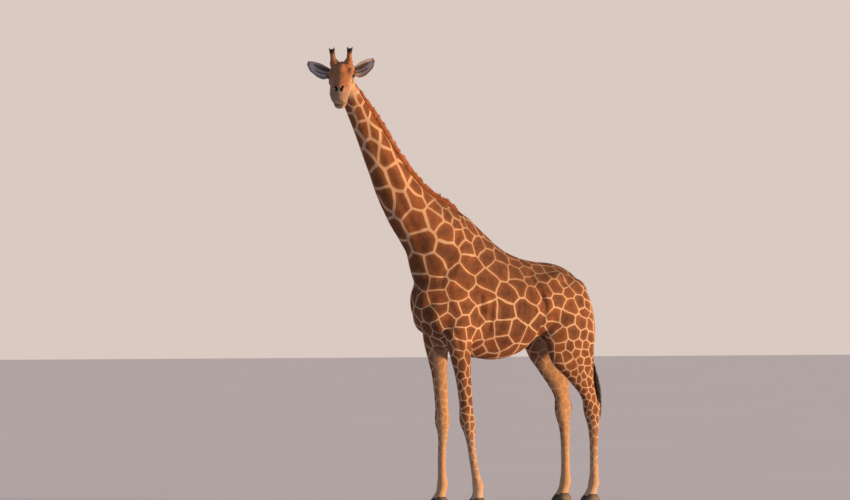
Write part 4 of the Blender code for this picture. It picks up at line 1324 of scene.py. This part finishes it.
def patch_seam(finish):
    """Metres inside a patch, from what lies past the edges between the three nearest patches."""
    first, second, third = finish.parts("edges")

    def least(one, other):
        sockets = {0: one, 1: other, 2: CORNER_ROUNDING}
        return finish.node("ShaderNodeMath", {"operation": "SMOOTH_MIN"}, sockets)

    def most(one, other):
        return finish.node("ShaderNodeMath", {"operation": "MAXIMUM"}, {0: one, 1: other})

    return most(least(first, second), most(least(0.0 - first, third), least(0.0 - second, 0.0 - third)))


def coat_colour(finish):
    """Pale coat with russet patches whose edges are ragged and whose middles are darker and
    mottled, then the tints of face, ears and hair tips over it. The dark and black tints also
    carry painted shade on the back, along the mouth and in and round the nostrils."""
    place = finish.object_place()
    line, tone, strength = finish.parts("marks")
    brown, dark, grey = finish.parts("tints")
    hollow, warm, black = finish.parts("ends")
    fine = finish.noise(place, 95.0, 3.0, 0.6)
    broad = finish.noise(place, 7.0, 3.0, 0.55)
    mottle = finish.noise(place, 19.0, 4.0, 0.62, 0.6)
    edge = patch_seam(finish) - line + (fine - 0.5) * 0.005 + (mottle - 0.5) * 0.004
    inside = finish.step(edge, -0.0018, 0.0018) * strength
    pale = finish.mix(warm * 0.8 + (broad - 0.5) * 0.7, CREAM, TAN)
    pale = finish.mix(finish.step(fine, 0.52, 0.72) * 0.22, pale, PATCH_RIM)
    depth = finish.step(edge, 0.0, 0.050)
    core = depth * 0.42 + (mottle - 0.42) * 1.35 + (tone - 0.4) * 0.40 + (broad - 0.5) * 0.5
    russet = finish.mix(core, PATCH_RIM, PATCH_CORE)
    colour = finish.mix(inside, pale, russet)
    colour = finish.mix(brown * (0.62 + mottle * 0.5), colour, FACE_BROWN)
    colour = finish.mix(grey * (0.55 + fine * 0.6), colour, MUZZLE_GREY)
    colour = finish.mix(hollow * 0.9, colour, HOLLOW_GREY)
    # Dark tint: real marks round the eyes and on the ears, and painted shade on the back, along the mouth
    # and round the nostrils.
    colour = finish.mix(dark * (0.70 + fine * 0.4), colour, DARK_MARKS_AND_PAINTED_SHADE)
    # Black: hair of the ossicones and tail, and painted shade inside the nostrils.
    return finish.mix(black, colour, BLACK_HAIR_AND_PAINTED_SHADE)


def skin_finish(name):
    """Skin seen between the tufts: the coat's colours a little darker, and the short hair itself
    as fine streaks along the coat."""
    finish = Finish(name, {"Roughness": 0.72, "Specular IOR Level": 0.25})
    finish.set({"Base Color": finish.brightened(coat_colour(finish), 0.92)})
    grain = finish.node("ShaderNodeUVMap", {"uv_map": "grain"}, {})
    hairs = finish.noise(finish.stretched(grain, (900.0, 90.0, 1.0)), 1.0, 2.0, 0.6)
    clumps = finish.noise(finish.stretched(grain, (230.0, 34.0, 1.0)), 1.0, 3.0, 0.6, 0.8)
    finish.bumped(hairs * 0.45 + clumps * 0.75, 0.55, 0.0022)
    return finish.material


def tuft_finish(name):
    """Tufts of the coat: the same colours, each tuft a little lighter or darker than the next."""
    finish = Finish(name, {"Roughness": 0.62, "Specular IOR Level": 0.30})
    shade = finish.attribute("shade", "Fac")
    rise = finish.attribute("rise", "Fac")
    amount = 0.84 + shade * 0.26 + rise * 0.10
    finish.set({"Base Color": finish.brightened(coat_colour(finish), amount)})
    return finish.material


def mane_finish(name):
    """Red-brown hair, darker and duller at the tips of some locks."""
    finish = Finish(name, {"Roughness": 0.55, "Specular IOR Level": 0.35})
    shade = finish.attribute("shade", "Fac")
    rise = finish.attribute("rise", "Fac")
    bands = finish.noise(finish.object_place(), 9.0, 2.0)
    colour = finish.mix(shade, (0.270, 0.078, 0.021), (0.500, 0.165, 0.045))
    dusky = finish.step(rise + (bands - 0.5) * 0.9, 0.60, 1.10) * 0.32
    colour = finish.mix(dusky, colour, (0.085, 0.036, 0.018))
    finish.set({"Base Color": colour})
    return finish.material


def dark_hair_finish(name):
    """Near-black hair with a brown cast on some locks."""
    finish = Finish(name, {"Roughness": 0.42, "Specular IOR Level": 0.45})
    colour = finish.mix(finish.attribute("shade", "Fac"), (0.007, 0.005, 0.005), (0.024, 0.016, 0.012))
    finish.set({"Base Color": colour})
    return finish.material


def eye_finish(name):
    """Wet dark eye: brown iris with faint rays round a wide dark pupil, and a darker rim."""
    finish = Finish(name, {"Roughness": 0.20, "Specular IOR Level": 0.20, "Coat Weight": 1.0,
                           "Coat Roughness": 0.02, "Coat IOR": 1.45})
    gaze = finish.attribute("gaze")
    across, rise, _ = finish.parts("gaze")
    wide = (across * across * 0.30 + rise * rise * 1.15) ** 0.5
    ring = (across * across + rise * rise) ** 0.5
    rays = finish.noise(gaze, 16.0, 3.0, 0.6)
    iris = finish.mix(rays, (0.030, 0.012, 0.005), (0.095, 0.042, 0.018))
    colour = finish.mix(finish.step(ring, 0.60, 0.68), iris, (0.055, 0.036, 0.028))
    rim = finish.step(ring, 0.50, 0.60) * finish.step(ring, 0.72, 0.62)
    colour = finish.mix(rim, colour, (0.008, 0.005, 0.004))
    colour = finish.mix(finish.step(wide, 0.255, 0.225), colour, (0.0025, 0.003, 0.004))
    finish.set({"Base Color": colour})
    return finish.material


def hoof_finish(name):
    """Grey-brown horn with growth rings, fine upright fibres and dust near the ground."""
    finish = Finish(name, {"Roughness": 0.50, "Specular IOR Level": 0.40})
    place = finish.object_place()
    rings = finish.noise(finish.stretched(place, (6.0, 6.0, 230.0)), 1.0, 3.0, 0.6)
    fibres = finish.noise(finish.stretched(place, (420.0, 420.0, 22.0)), 1.0, 2.0, 0.5)
    worn = finish.noise(place, 45.0, 4.0, 0.6)
    height = finish.node("ShaderNodeSeparateXYZ", {}, {0: place}, 2)
    colour = finish.mix(rings, (0.050, 0.038, 0.030), (0.150, 0.115, 0.088))
    colour = finish.mix(fibres * 0.35, colour, (0.030, 0.024, 0.020))
    dust = finish.step(height + (worn - 0.5) * 0.05, 0.045, 0.0)
    colour = finish.mix(dust * 0.6, colour, (0.300, 0.235, 0.175))
    finish.set({"Base Color": colour, "Roughness": 0.42 + worn * 0.35})
    finish.bumped(rings * 0.6 + fibres * 0.3 + worn * 0.2, 0.5, 0.0015)
    return finish.material


def floor_finish(name):
    finish = Finish(name, {"Roughness": 0.85, "Specular IOR Level": 0.2})
    broad = finish.noise(finish.object_place(), 0.35, 2.0)
    finish.set({"Base Color": finish.mix(broad, (0.88, 0.84, 0.80), (0.93, 0.89, 0.85))})
    return finish.material


# ---- Pieces beside the skin ---------------------------------------------------------------------
def dressed(piece, material):
    piece.data.materials.clear()
    piece.data.materials.append(material)
    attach(piece, "root")
    return piece


def eyeball(name, side):
    """A ball with a clear bulge in front: rings of growing angle from the line of sight."""
    polar = np.radians(np.concatenate([np.linspace(2, 80, 30), np.linspace(88, 176, 16)]))
    turn = np.linspace(0, 2 * math.pi, 56, endpoint=False)
    angle, turn = np.meshgrid(polar, turn, indexing="ij")
    radius = EYE_RADIUS * (1 + 0.050 * bell(angle, math.radians(34)))
    across, rise = np.degrees(angle) * np.cos(turn), np.degrees(angle) * np.sin(turn)
    points = on_eye(side, across, rise, radius)
    ball = tube(name, HEAD.scene(points.reshape(-1, 3)).reshape(points.shape))
    middle, out, front, up = eye_frame(side)
    away = (HEAD.inside(positions(ball.data)) - middle) / EYE_RADIUS
    give(ball.data, {"gaze": np.stack([away @ front, away @ up, away @ out], axis=1)})
    return ball


def lashes(name, side, seed):
    """Long dark hairs from the edge of the upper lid that sweep out, forward and a little down."""
    random = np.random.default_rng(seed)
    count = 150
    turn = np.radians(random.uniform(12, 168, count))
    across, rise = lid_margin(turn)
    _, out, front, up = eye_frame(side)
    root = on_eye(side, across, rise + random.uniform(0.0, 3.5, count), np.full(count, LID_RADIUS))
    lean = out * 0.95 + up * random.uniform(-0.05, 0.35, (count, 1)) + front * (across / 70)[:, None]
    lean = unit(lean + 0.12 * random.normal(size=(count, 3)))
    long = random.uniform(0.012, 0.020, (count, 1)) * (0.6 + 0.4 * np.sin(turn))[:, None]
    stations = [root + lean * long * share - up * long * 0.42 * share**2 for share in (0, 0.35, 0.7, 1.0)]
    paths = HEAD.scene(np.stack(stations, axis=1).reshape(-1, 3)).reshape(count, 4, 3)
    widths = np.array([0.0011, 0.0010, 0.0006]) * np.ones((count, 1))
    out_all = np.repeat(HEAD.direction(up)[None], count, axis=0)
    spots = np.stack([turn / math.pi, np.full(count, 0.5)], axis=1)
    return locks(name, paths, out_all, widths, spots, {"shade": random.uniform(0, 1, count)})


# Claw sections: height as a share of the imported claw's, reach of toe and of heel as shares of
# its length, and width as a share of its width.
CLAW_SECTIONS = [
    (0.000, 0.530, 0.410, 0.90),
    (0.030, 0.552, 0.430, 0.985),
    (0.080, 0.555, 0.435, 1.000),
    (0.300, 0.500, 0.432, 0.985),
    (0.550, 0.425, 0.418, 0.965),
    (0.780, 0.352, 0.385, 0.920),
    (0.920, 0.292, 0.345, 0.850),
    (1.000, 0.252, 0.312, 0.780),
    (1.080, 0.220, 0.280, 0.700),
    (1.200, 0.190, 0.240, 0.520),
]


SOLE_HOLLOW = 0.0045


def claw(node):
    """A claw: a D outline, flat towards its twin, carried up the wall with shallow growth rings,
    a bulge at the heel, a hollowed sole, and a top that ends inside the skin."""
    low, high = (np.array(corner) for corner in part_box(node))
    size = high - low
    side = (-1.0 if node.endswith("inner") else 1.0) * (1.0 if "_left_" in node else -1.0)
    rows = curve_through(CLAW_SECTIONS, 44)
    turn = np.linspace(0, 2 * math.pi, 56, endpoint=False)
    cosine, sine = np.cos(turn), np.sin(turn)
    share, toe, heel, wide = (rows[:, k:k + 1] for k in range(4))
    ridge = 1 + 0.010 * np.sin(2 * math.pi * (share * 6.5 + 0.08 * cosine)) * smooth(0.05, 0.2, share)
    reach = np.where(cosine > 0, toe, heel) * ridge
    ahead = reach * size[1] * np.sign(cosine) * np.abs(cosine) ** 0.88
    flat = np.where(sine > 0, 0.95, 0.60)
    aside = wide * ridge * size[0] / 2 * np.sign(sine) * np.abs(sine) ** flat * 0.985
    middle = low[1] + 0.555 * size[1]
    height = np.broadcast_to(low[2] + share * size[2], aside.shape)
    points = np.stack([(low[0] + high[0]) / 2 + side * aside, middle - ahead, height], axis=-1)
    sole = points[:1].mean(axis=1, keepdims=True)
    hollow = np.array([0, 0, SOLE_HOLLOW])
    dish = [sole + (points[:1] - sole) * part + hollow * (1 - part) for part in (0.25, 0.6, 0.9)]
    return tube(node.replace("hoof", "claw"), np.concatenate([*dish, points]))


# ---- Mane and tail ------------------------------------------------------------------------------
# Forward and up along the crest, from the withers to the nape.
MANE_GUIDE = [(0.42, 2.50), (0.62, 2.70), (0.85, 2.86), (1.12, 3.02), (1.42, 3.38), (1.70, 3.78),
              (1.97, 4.14)]
MANE_STATIONS = 110
MANE_HALF_WIDTHS = [(0.55, 0.020), (1.00, 0.032), (1.50, 0.050), (1.97, 0.054)]  # at forward places
CREST_PARTS = np.linspace(-1, 1, 9)  # of the half width, where roots are read


def tree_of(piece):
    return BVHTree.FromObject(piece, bpy.context.evaluated_depsgraph_get())


def crest(skin):
    """Points along the crest of the neck: rows of roots on the skin, from its right side over to
    its left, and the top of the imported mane. Rays go down into the neck, square to a guide line."""
    mane = BODY.inside(positions(NODES["mane"].data))
    guide = curve_through(MANE_GUIDE, MANE_STATIONS)
    ahead = unit(np.gradient(guide, axis=0))
    inward = np.stack([ahead[:, 1], np.zeros(MANE_STATIONS), -ahead[:, 0]], axis=1)
    order = np.argsort(mane[:, 0])
    lefts = np.interp(guide[:, 0], mane[order, 0], smoothed_row(mane[order, 1], 25))
    starts = np.stack([guide[:, 0], lefts, guide[:, 1]], axis=1) - inward * 0.35
    half = np.interp(guide[:, 0], *np.array(MANE_HALF_WIDTHS).T)
    trees = [tree_of(skin), tree_of(NODES["mane"])]
    found = []
    for start, way, wide in zip(BODY.scene(starts), BODY.direction(inward), half):
        way, aside = Vector(way), Vector(LEFT) * wide
        hits = [trees[0].ray_cast(Vector(start) + aside * part, way)[0] for part in CREST_PARTS]
        hits.append(trees[1].ray_cast(Vector(start), way)[0])
        if all(hit is not None for hit in hits):
            found.append([np.array(hit) for hit in hits])
    rows = np.array(found)
    for _ in range(3):
        rows[1:-1] = (rows[:-2] + 2 * rows[1:-1] + rows[2:]) / 4
    return rows[:, :-1], rows[:, -1]


def smoothed_row(values, width):
    """Running mean of a row of values."""
    padded = np.pad(values, width, mode="edge")
    return np.convolve(padded, np.full(2 * width + 1, 1 / (2 * width + 1)), mode="valid")


def mane_core(name, base, top):
    """A low wedge of hair along the crest that the upright locks stand in."""
    turn = np.linspace(0, 2 * math.pi, 12, endpoint=False)
    side, rise = np.sin(turn), (1 - np.cos(turn)) / 2
    share = np.linspace(0, 1, len(base))[:, None]
    ends = smooth(0.0, 0.06, share) * smooth(1.0, 0.90, share)
    width = 0.0165 * (1 - 0.70 * rise) * (0.15 + 0.85 * ends)
    lift = -0.30 + rise * (0.20 + 0.50 * ends)
    up = (top - base)[:, None]
    rings = base[:, None] + up * lift[..., None] + np.array(LEFT) * (side * width)[..., None]
    core = tube(name, rings)
    height = np.concatenate([lift.ravel(), [0.0, 0.0]])
    give(core.data, {"shade": np.full(len(height), 0.25), "rise": np.clip(height, 0, 1)})
    return core


def mane_locks(name, roots, top, count, seed):
    """Short stiff locks from both sides of the crest that meet in one upright ridge, in clumps of
    uneven height. They lean back a little, and those at the sides are shorter and lie close."""
    random = np.random.default_rng(seed)
    place = random.uniform(0, 1, count) * (len(roots) - 1.001)
    index, share = place.astype(int), (place % 1)[:, None]
    off = (random.uniform(-1, 1, count) + random.uniform(-1, 1, count)) * 0.5
    column = (off + 1) / 2 * (len(CREST_PARTS) - 1.001)
    first, part = column.astype(int), (column % 1)[:, None]

    def between(rows):
        return rows[index] * (1 - share) + rows[index + 1] * share

    near, far = (roots[index, column] * (1 - share) + roots[index + 1, column] * share
                 for column in (first, first + 1))
    root = near * (1 - part) + far * part
    base = roots[:, len(CREST_PARTS) // 2]
    tall, ahead = between(top - base), unit(base[index + 1] - base[index])
    clump = wander(root, 0.060, 61) * 0.5 + wander(root, 0.018, 62) * 0.5 + random.normal(0, 0.3, count)
    height = np.clip(0.84 + 0.17 * clump - 0.36 * off**2, 0.35, 1.04)
    height *= 0.40 + 0.60 * smooth(0, 7, place) * smooth(len(roots) - 1, len(roots) - 7, place)
    goal = between(top) + np.array(LEFT) * (off * 0.014 + random.normal(0, 0.005, count))[:, None]
    way = goal - root - ahead * np.linalg.norm(tall, axis=1, keepdims=True) * (
        0.26 + 0.14 * wander(root, 0.07, 63)[:, None])
    long = way * height[:, None]
    start = root - tall * 0.10
    bow = np.array(LEFT) * (off * 0.0120)[:, None]
    paths = np.stack([start, start + long * 0.45 + bow, start + long], axis=1)
    wide = random.uniform(0.0026, 0.0046, (count, 1)) * np.array([1.0, 0.8])
    spots = np.stack([place / len(roots), 0.5 + off * 0.4], axis=1)
    values = {"shade": random.uniform(0, 1, count)}
    return locks(name, paths, np.cross(ahead, unit(tall)), wide, spots, values)


def tail_locks(name, count, seed):
    """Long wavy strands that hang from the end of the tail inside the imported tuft."""
    random = np.random.default_rng(seed)
    low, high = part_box("tail_tuft")
    middle = slices(["tail_tuft"], high.z - 0.02, low.z + 0.03, 9)
    stations = 12
    root_z = high.z + random.uniform(-0.16, 0.03, count) * random.uniform(0.2, 1, count)
    tip_z = low.z + 0.01 + (high.z - low.z) * 0.42 * random.uniform(0, 1, count) ** 2
    share = np.linspace(0, 1, stations)
    height = root_z[:, None] + (tip_z - root_z)[:, None] * share
    line = np.stack([np.interp(height, middle[::-1, 2], middle[::-1, k]) for k in (0, 1)], axis=-1)
    turn, out = random.uniform(0, 2 * math.pi, count), np.sqrt(random.uniform(0.02, 1, count))
    bulge = np.interp(share, (0, 0.15, 0.5, 0.8, 1.0), (0.010, 0.020, 0.034, 0.030, 0.017))
    phase, wave = random.uniform(0, 2 * math.pi, (2, count, 1)), random.uniform(1.0, 2.2, (count, 1))
    away = (out[:, None] * bulge)[..., None] * np.stack([np.cos(turn), np.sin(turn)], axis=1)[:, None]
    swings = [np.sin(wave * 2 * math.pi * share + phase[k]) for k in (0, 1)]
    sway = 0.0050 * share[:, None] * np.stack(swings, axis=-1)
    flat = line + away + sway
    paths = np.concatenate([flat, height[..., None]], axis=2)
    wide = random.uniform(0.0016, 0.0030, (count, 1)) * np.linspace(1, 0.45, stations - 1)
    facing = np.concatenate([np.stack([np.cos(turn), np.sin(turn)], axis=1), np.zeros((count, 1))], axis=1)
    spots = np.stack([0.05 + 0.9 * turn / (2 * math.pi), 0.1 + 0.8 * out], axis=1)
    return locks(name, paths, facing, wide, spots, {"shade": random.uniform(0, 1, count)}, thick=0.6)


def crown_locks(name, side, count, seed):
    """The black brush of an ossicone: a ring of upright hair round its bald knob, longest at its
    two sides, so that it ends in two points."""
    random = np.random.default_rng(seed)
    base, lean, first, second = ossicone_axis(side)
    turn = random.uniform(0, 2 * math.pi, count)
    rise = random.uniform(0.52, 0.84, count)
    table = np.array(OSSICONE_SECTIONS)
    radius = np.interp(rise, table[:, 0], table[:, 1]) - 0.0015
    round_it = around(turn, first, second)
    root = base + lean * (OSSICONE_HEIGHT * rise)[:, None] + round_it * radius[:, None]
    clump = (0.5 - 0.5 * np.cos(2 * turn)) ** 1.5 + random.normal(0, 0.06, count)
    top = OSSICONE_HEIGHT * (0.83 + 0.17 * np.clip(clump, 0, 1)) * smooth(0.45, 0.70, rise)
    long = np.maximum(top - OSSICONE_HEIGHT * rise * 0.98, 0.012)[:, None]
    long = long * random.uniform(0.80, 1.0, (count, 1))
    spread = round_it * 0.05 + 0.06 * random.normal(size=(count, 3))
    way = unit(lean + spread)
    paths = np.stack([root + way * long * part + round_it * 0.10 * long * part * (1 - part) * 2
                      for part in (0, 0.5, 1.0)], axis=1)
    paths = HEAD.scene(paths.reshape(-1, 3)).reshape(paths.shape)
    wide = random.uniform(0.0016, 0.0028, (count, 1)) * np.array([1.0, 0.75])
    spots = np.stack([0.05 + 0.9 * turn / (2 * math.pi), rise], axis=1)
    return locks(name, paths, HEAD.direction(round_it), wide, spots, {"shade": random.uniform(0, 1, count)})


# ---- Assembly -----------------------------------------------------------------------------------
TRUNK_MIDDLE = 0.30  # forward place where the trunk's coat is cut in two pieces
PAST_END = 9.0  # a forward place past either end of the body, with its sign
WHOLE, FRONT, REAR = (-PAST_END, PAST_END), (TRUNK_MIDDLE, PAST_END), (-PAST_END, TRUNK_MIDDLE)
COAT_PIECES = [
    # name, bones, side of the body or 0 for both, from and to forward, lattice cell, seed
    ("coat_neck_left", ("neck",), 1, WHOLE, 0.0050, 101),
    ("coat_neck_right", ("neck",), -1, WHOLE, 0.0050, 102),
    ("coat_chest_left", ("trunk",), 1, FRONT, 0.0056, 103),
    ("coat_chest_right", ("trunk",), -1, FRONT, 0.0056, 104),
    ("coat_rump_left", ("trunk",), 1, REAR, 0.0056, 105),
    ("coat_rump_right", ("trunk",), -1, REAR, 0.0056, 106),
    ("coat_forelegs", ("leg_fore_left", "leg_fore_right"), 0, WHOLE, 0.0052, 107),
    ("coat_hindlegs", ("leg_hind_left", "leg_hind_right"), 0, WHOLE, 0.0052, 109),
    ("coat_tail", ("tail",), 0, WHOLE, 0.0045, 111),
    ("coat_head", ("head",), 0, WHOLE, 0.0034, 113),
    ("coat_ears", ("ear_left", "ear_right"), 0, WHOLE, 0.0028, 115),
    ("coat_crown", ("ossicone_left", "ossicone_right"), 0, WHOLE, 0.0034, 117),
]


def tuft_length(place, head):
    """Longest on neck and trunk, short on the legs, and shortest on the muzzle and round the eyes."""
    up = BODY.inside(place)[:, 2]
    long = 0.0090 + 0.0055 * smooth(0.3, 1.5, up)
    face = 0.0095 - 0.0056 * smooth(0.33, 0.50, head[:, 0])
    face = face + 0.0030 * smooth(0.12, 0.15, np.abs(head[:, 1]))
    long = long + (face - long) * headness(head)
    return long * (0.45 + 0.55 * smooth(0.026, 0.050, near_eye(head)))


def tuft_width(head):
    wide = 0.0031 + (0.0020 - 0.0031) * headness(head)
    return wide * (0.6 + 0.4 * smooth(0.026, 0.045, near_eye(head)))


def tuft_lift(place, head):
    """How far the tips stand off the skin: less than the coat's depth."""
    return 0.31 * coat_depth(place) * (0.35 + 0.65 * smooth(0.026, 0.045, near_eye(head)))


def make_skin(bones):
    skin = whole_skin()
    owner, lie = lay_of_coat(skin, bones)
    edges, values = markings(skin, bones, owner, lie)
    give(skin.data, values)
    give(skin.data, {"edges": edges.reshape(-1, 3)}, "CORNER")
    spots, grain = unwrap_of(skin, bones, owner)
    give_map(skin.data, "OFBake", spots.reshape(-1, 2))
    give_map(skin.data, "grain", grain.reshape(-1, 2))
    return skin, Ground(skin, owner, lie, values, edges, spots)


def make_coat(ground, bones, finish):
    """The tufts over the skin, in pieces by part of the body. None grow in eyes and nostrils."""
    names = list(bones)
    head = HEAD.inside(ground.points)
    bare = (near_eye(head) < 0.0295) | (ground.values["ends"][:, 2] * (head[:, 0] > 0.4) > 0.3)
    bare |= ground.points[:, 2] < 0.089
    for word, side in SIDES:
        base, lean, _, _ = ossicone_axis(side)
        inside_bone = (head - base) @ lean > 0.26 * OSSICONE_HEIGHT
        bare |= (ground.owner == names.index(f"ossicone_{word}")) & inside_bone
    forward, left, _ = BODY.inside(ground.points).T
    for name, parts, side, (start, stop), cell, seed in COAT_PIECES:
        wanted = np.isin(ground.owner, [names.index(part) for part in parts]) & ~bare
        wanted &= (forward >= start) & (forward < stop)
        if side:
            wanted &= (left > 0) == (side > 0)
        piece = ground.coat(name, cell, wanted, seed)
        dressed(piece, finish)


def make_ossicone(word, side, bones, finish):
    """An ossicone: skin-covered bone from inside its root up, with short hair of its own."""
    piece = ossicone(f"ossicone_bone_{word}", side, [*OSSICONE_FOOT, *OSSICONE_SECTIONS[4:]])
    reshaped(piece, lambda form: bmesh.ops.triangulate(form, faces=form.faces))
    piece.data.shade_smooth()
    points, facing = positions(piece.data), normals(piece.data)
    base, lean, _, _ = ossicone_axis(side)
    rise = (HEAD.inside(points) - base) @ lean / OSSICONE_HEIGHT
    count = len(points)
    black = smooth(*OSSICONE_BLACK, rise)
    values = {
        "marks": np.zeros((count, 3)),
        "tints": np.tile([1.0, 0.0, 0.0], (count, 1)),
        "ends": np.stack([np.zeros(count), np.full(count, 0.5), black], axis=1),
    }
    owner = np.full(len(points), list(bones).index(f"ossicone_{word}"))
    lean = HEAD.direction(lean)
    lie = unit(lean - facing * (facing @ lean)[:, None])
    spots, grain = unwrap_of(piece, bones, owner)
    give(piece.data, values)
    give_map(piece.data, "OFBake", spots.reshape(-1, 2))
    give_map(piece.data, "grain", grain.reshape(-1, 2))
    ground = Ground(piece, owner, lie, values, np.zeros((len(spots), 3, 3)), spots)
    coat = ground.coat(f"ossicone_coat_{word}", 0.0030, rise < 0.8, 121)
    dressed(coat, finish["tuft"])
    dressed(piece, finish["skin"])
    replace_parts(piece, f"ossicone_{word}")
    dressed(crown_locks(f"ossicone_hair_{word}", side, 620, 131), finish["dark"])


def make_all():
    finish = {
        "skin": skin_finish("giraffe_skin"),
        "tuft": tuft_finish("giraffe_coat"),
        "mane": mane_finish("mane_hair"),
        "dark": dark_hair_finish("black_hair"),
        "eye": eye_finish("giraffe_eye"),
        "hoof": hoof_finish("hoof_horn"),
    }
    bones = all_bones()
    skin, ground = make_skin(bones)
    roots, top = crest(skin)
    dressed(skin, finish["skin"])
    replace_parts(skin, *FLESH, "ear_left", "ear_right")
    make_coat(ground, bones, finish["tuft"])
    for word, side in SIDES:
        make_ossicone(word, side, bones, finish)
        ball = dressed(eyeball(f"eyeball_{word}", side), finish["eye"])
        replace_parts(ball, f"eye_{word}")
        dressed(lashes(f"lashes_{word}", side, 141), finish["dark"])
    for node in sorted(NODES):
        if node.startswith("hoof"):
            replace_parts(dressed(claw(node), finish["hoof"]), node)
    core = dressed(mane_core("mane_core", roots[:, len(CREST_PARTS) // 2], top), finish["mane"])
    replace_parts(core, "mane")
    dressed(mane_locks("mane_hair", roots, top, 18_000, 151), finish["mane"])
    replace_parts(dressed(tail_locks("tail_hair", 620, 161), finish["dark"]), "tail_tuft")


# ---- Studio -------------------------------------------------------------------------------------
CAMERA_BEARING = math.radians(58.0)
CAMERA_AWAY, CAMERA_HEIGHT, CAMERA_LENS = 30.0, 1.71, 135.95
CAMERA_AIM = (0.710, 0.0, 0.0)  # forward, left and up of the point that the bearing is taken at
CAMERA_LEFT, CAMERA_UP = math.radians(0.625), math.radians(1.338)  # turned to the head and up


def stand_camera():
    """A long lens level with the animal's belly, turned a little to its head and up."""
    back = np.array([math.sin(CAMERA_BEARING), -math.cos(CAMERA_BEARING), 0.0])
    place = BODY.scene(CAMERA_AIM) + back * CAMERA_AWAY + np.array([0, 0, CAMERA_HEIGHT])
    right = np.cross(-back, (0, 0, 1.0))
    ahead = -back * math.cos(CAMERA_LEFT) - right * math.sin(CAMERA_LEFT)
    ahead = ahead * math.cos(CAMERA_UP) + np.array([0, 0, math.sin(CAMERA_UP)])
    data = bpy.data.cameras.new("camera")
    data.lens, data.sensor_width, data.sensor_fit = CAMERA_LENS, 36.0, "HORIZONTAL"
    data.clip_end = 400.0
    camera = linked("camera", data)
    camera.location = place
    camera.rotation_euler = Vector(ahead).to_track_quat("-Z", "Y").to_euler()
    bpy.context.scene.camera = camera


def light(name, toward, strength, colour, softness):
    """Even light from a direction: a far lamp whose apparent width in degrees is its softness."""
    data = bpy.data.lights.new(name, "SUN")
    data.energy, data.color, data.angle = strength, colour, math.radians(softness)
    lamp = linked(name, data)
    lamp.rotation_euler = Vector(toward).to_track_quat("Z", "Y").to_euler()


FLOOR_HALF = 120.0  # half the side of the floor


def studio():
    """A pale floor, cool light from all round, a warm low lamp from behind on the left, and a weak
    cool one from the front. Lenses see a plain warm backdrop past the floor."""
    span = FLOOR_HALF
    corners = np.array([(-span, -span, 0), (span, -span, 0), (span, span, 0), (-span, span, 0)], float)
    corners[:, 2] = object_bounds()[0][2] - 0.0005
    floor = linked("floor", mesh_of("floor", corners, [np.array([[0, 1, 2, 3]])]))
    floor.data.materials.append(floor_finish("studio_floor"))
    floor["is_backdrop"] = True
    world = bpy.data.worlds.new("studio")
    bpy.context.scene.world = world
    world.use_nodes = True
    tree = world.node_tree
    soft, seen = tree.nodes["Background"], tree.nodes.new("ShaderNodeBackground")
    soft.inputs["Color"].default_value = (0.60, 0.69, 0.90, 1.0)
    soft.inputs["Strength"].default_value = 0.39
    seen.inputs["Color"].default_value = (0.700, 0.590, 0.535, 1.0)
    path, mixed = tree.nodes.new("ShaderNodeLightPath"), tree.nodes.new("ShaderNodeMixShader")
    tree.links.new(path.outputs["Is Camera Ray"], mixed.inputs[0])
    tree.links.new(soft.outputs[0], mixed.inputs[1])
    tree.links.new(seen.outputs[0], mixed.inputs[2])
    tree.links.new(mixed.outputs[0], tree.nodes["World Output"].inputs["Surface"])
    light("key", (0.63, 0.76, 0.10), 7.3, (1.0, 0.60, 0.29), 5.0)
    light("fill", (0.10, -0.90, 0.55), 0.12, (0.80, 0.88, 1.0), 40.0)
    bpy.context.scene.view_settings.view_transform = "Standard"


make_all()
stand_camera()
studio()
